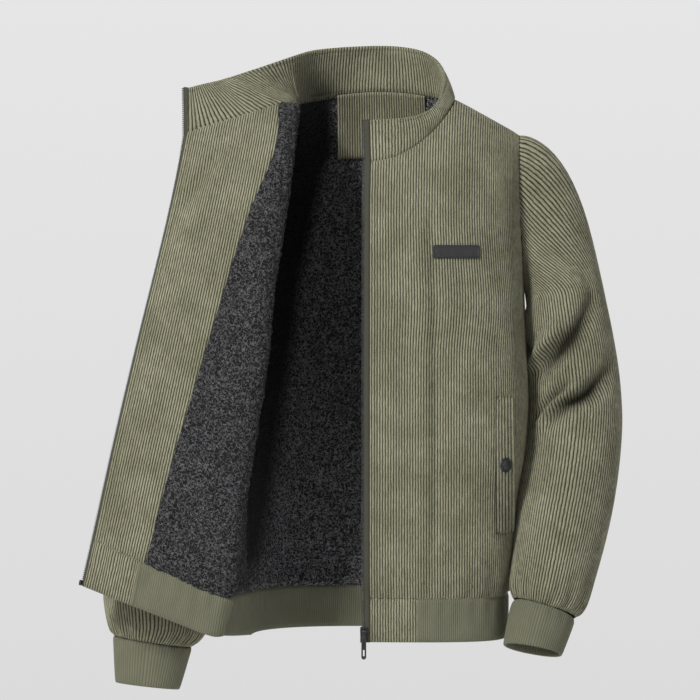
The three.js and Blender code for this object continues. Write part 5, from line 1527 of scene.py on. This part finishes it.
def makeWelt(name, points, across, along, shape, seed, node):
    normals = gridNormals(points)
    fromSewn = across - across[:, :1] if across[0, -1] > across[0, 0] else across[:, :1] - across
    wideHere = fromSewn[:, -1:]
    fromEnds = np.minimum(along - along.min(), along.max() - along)
    gape = 1.6 * np.sin(fromEnds / fromEnds.max() * rightAngle) * (fromSewn / wideHere) ** 2
    points = points + normals * (shape["stand"] + welt["lift"] * fromSewn / wideHere + gape
                                 + bumps(seed, 8, (0, 20), (0, 170), 14)(fromSewn, fromEnds) * 0.4)[..., None]
    relief = waleRelief(fromSewn, wale) + hollowLine(fromSewn, 1.6, 1.6) + hollowLine(fromEnds, 1.5, 1.5)
    relief += hollowLine(wideHere - fromSewn - 3.2, 0.5, 1.1) + hollowLine(fromEnds - 3.4, 0.5, 1.1)
    piece = foldedCloth(name, points, np.stack([fromSewn, along], -1), relief, welt["thick"], "corduroy")
    declare(piece, [node])
    surface = points + gridNormals(points) * (relief[..., None] + 0.1)
    facing = gridNormals(points)
    keep = int(np.argmin(np.abs(wideHere[0, 0] - fromSewn[0] - 3.2)))
    ends = [int(np.argmin(np.abs(fromEnds[:30, 0] - 3.4))), 30 + int(np.argmin(np.abs(fromEnds[30:, 0] - 3.4)))]
    weltLines.append((surface[ends[0]:ends[1], keep], facing[ends[0]:ends[1], keep]))
    for row in ends:
        weltLines.append((surface[row, :keep + 1], facing[row, :keep + 1]))


makeWelt("leftWelt", weltAt, weltX + 0 * weltZ, weltZ + 0 * weltX, welt, 5, "left_welt")
openWeltFront = OpenFront(np.linspace(openWelt["foot"], openWelt["top"], 60), 28)
openAway = np.arange(openWelt["near"], openWelt["far"] + 0.1, wale["pitch"] / 4)[None, :] + np.zeros((60, 1))
openWeltAt = openWeltFront.fromEdge(openAway.T).transpose(1, 0, 2)
makeWelt("rightWelt", openWeltAt, openAway, openWeltFront.shares[:, None] * openTall + 0 * openAway, openWelt, 6,
         "right_welt")

button = {"profile": [(0, 0), (8.6, 0), (9.1, 0.5), (9.2, 1.2), (8.8, 1.9), (8.0, 2.2), (7.3, 1.9), (6.7, 1.8),
                      (5.9, 2.1), (4.2, 2.8), (2.2, 3.15), (0.8, 3.2), (0, 3.2)], "turns": 48}


def makeSnap(name, node, axis):
    low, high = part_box(node)
    middle = (np.array(low) + np.array(high)) * 500
    axis = np.array(axis, float) / np.linalg.norm(axis)
    side = np.cross(axis, [0, 0, 1])
    side /= np.linalg.norm(side)
    up = np.cross(side, axis)
    base = middle - axis * 1.6
    turn = np.linspace(0, 2 * math.pi, button["turns"] + 1)[:, None, None]
    radius = np.array([r for r, _ in button["profile"]])[None, :, None]
    rise = np.array([h for _, h in button["profile"]])[None, :, None]
    points = base + (side * np.cos(turn) + up * np.sin(turn)) * radius + axis * rise
    uv = np.stack(np.broadcast_arrays(turn[..., 0] * 9, radius[..., 0]), -1)
    faces = quadsOf(button["turns"] + 1, len(button["profile"])).tolist()
    mesh = meshOf(name, points.reshape(-1, 3), faces, uv.reshape(-1, 2), [finishes["metal"]])
    work = bmesh.new()
    work.from_mesh(mesh)
    bmesh.ops.recalc_face_normals(work, faces=work.faces)
    work.to_mesh(mesh)
    work.free()
    declare(linkPiece(name, mesh), [node])


snapNormal = gridNormals(weltAt)[30, 12]
makeSnap("leftSnap", "left_snap", snapNormal)
makeSnap("rightSnap", "right_snap", gridNormals(openWeltAt)[30, 12])

# Badge on the left chest: a bare black plate with a raised rim
plate = {"x": 107, "z": -198, "wide": 57, "high": 16, "rim": 1.6, "stand": 2.2, "raised": 0.75, "corner": 2.2}
plateX = np.linspace(-plate["wide"] / 2, plate["wide"] / 2, 96)[:, None]
plateZ = np.linspace(-plate["high"] / 2, plate["high"] / 2, 40)[None, :]
cornerX = np.maximum(np.abs(plateX) - (plate["wide"] / 2 - plate["corner"]), 0)
cornerZ = np.maximum(np.abs(plateZ) - (plate["high"] / 2 - plate["corner"]), 0)
over = np.maximum(np.hypot(cornerX, cornerZ), 1e-6)
shrink = np.where(over > plate["corner"], plate["corner"] / over, 1)
flatX = np.sign(plateX) * (np.minimum(np.abs(plateX), plate["wide"] / 2 - plate["corner"]) + cornerX * shrink)
flatZ = np.sign(plateZ) * (np.minimum(np.abs(plateZ), plate["high"] / 2 - plate["corner"]) + cornerZ * shrink)
fromRim = plate["corner"] - np.hypot(cornerX, cornerZ) * shrink
fromRim = np.where((cornerX > 0) | (cornerZ > 0), fromRim, np.minimum(
    plate["wide"] / 2 - np.abs(plateX), plate["high"] / 2 - np.abs(plateZ)))
plateAt = np.stack([plate["x"] + flatX, frontY(plate["x"] + flatX, plate["z"] + flatZ), plate["z"] + flatZ], -1)
plateOut = gridNormals(plateAt)
plateRelief = plate["raised"] * (1 - ease(fromRim, plate["rim"], plate["rim"] + 0.7))
plateRelief = plateRelief - 0.5 * (1 - ease(fromRim, 0, 0.6))
plateRelief += 0.35 * (np.hypot(np.abs(plateX) - 23.5, plateZ) < 1.1)
badge = clothWall("chestBadge", plateAt + plateOut * plate["stand"], np.stack([flatX, flatZ], -1), plateRelief,
                  1.2, "patch", skip=1)
declare(badge, ["chest_badge"])

# Stitches: beside the zip, round the collar and on the welts
stitch = {"pitch": 3.3, "long": 2.5, "wide": 0.7, "high": 0.55}
stitchLines = lineStore + weltLines
stitchShape = barOf("stitch", stitch["long"], stitch["wide"], stitch["high"], 0.2)
repeatAlong("stitches", stitchLines, stitch["pitch"], {"smallest": 0.9, "largest": 1.05, "seed": 7},
            stitchShape, "thread")
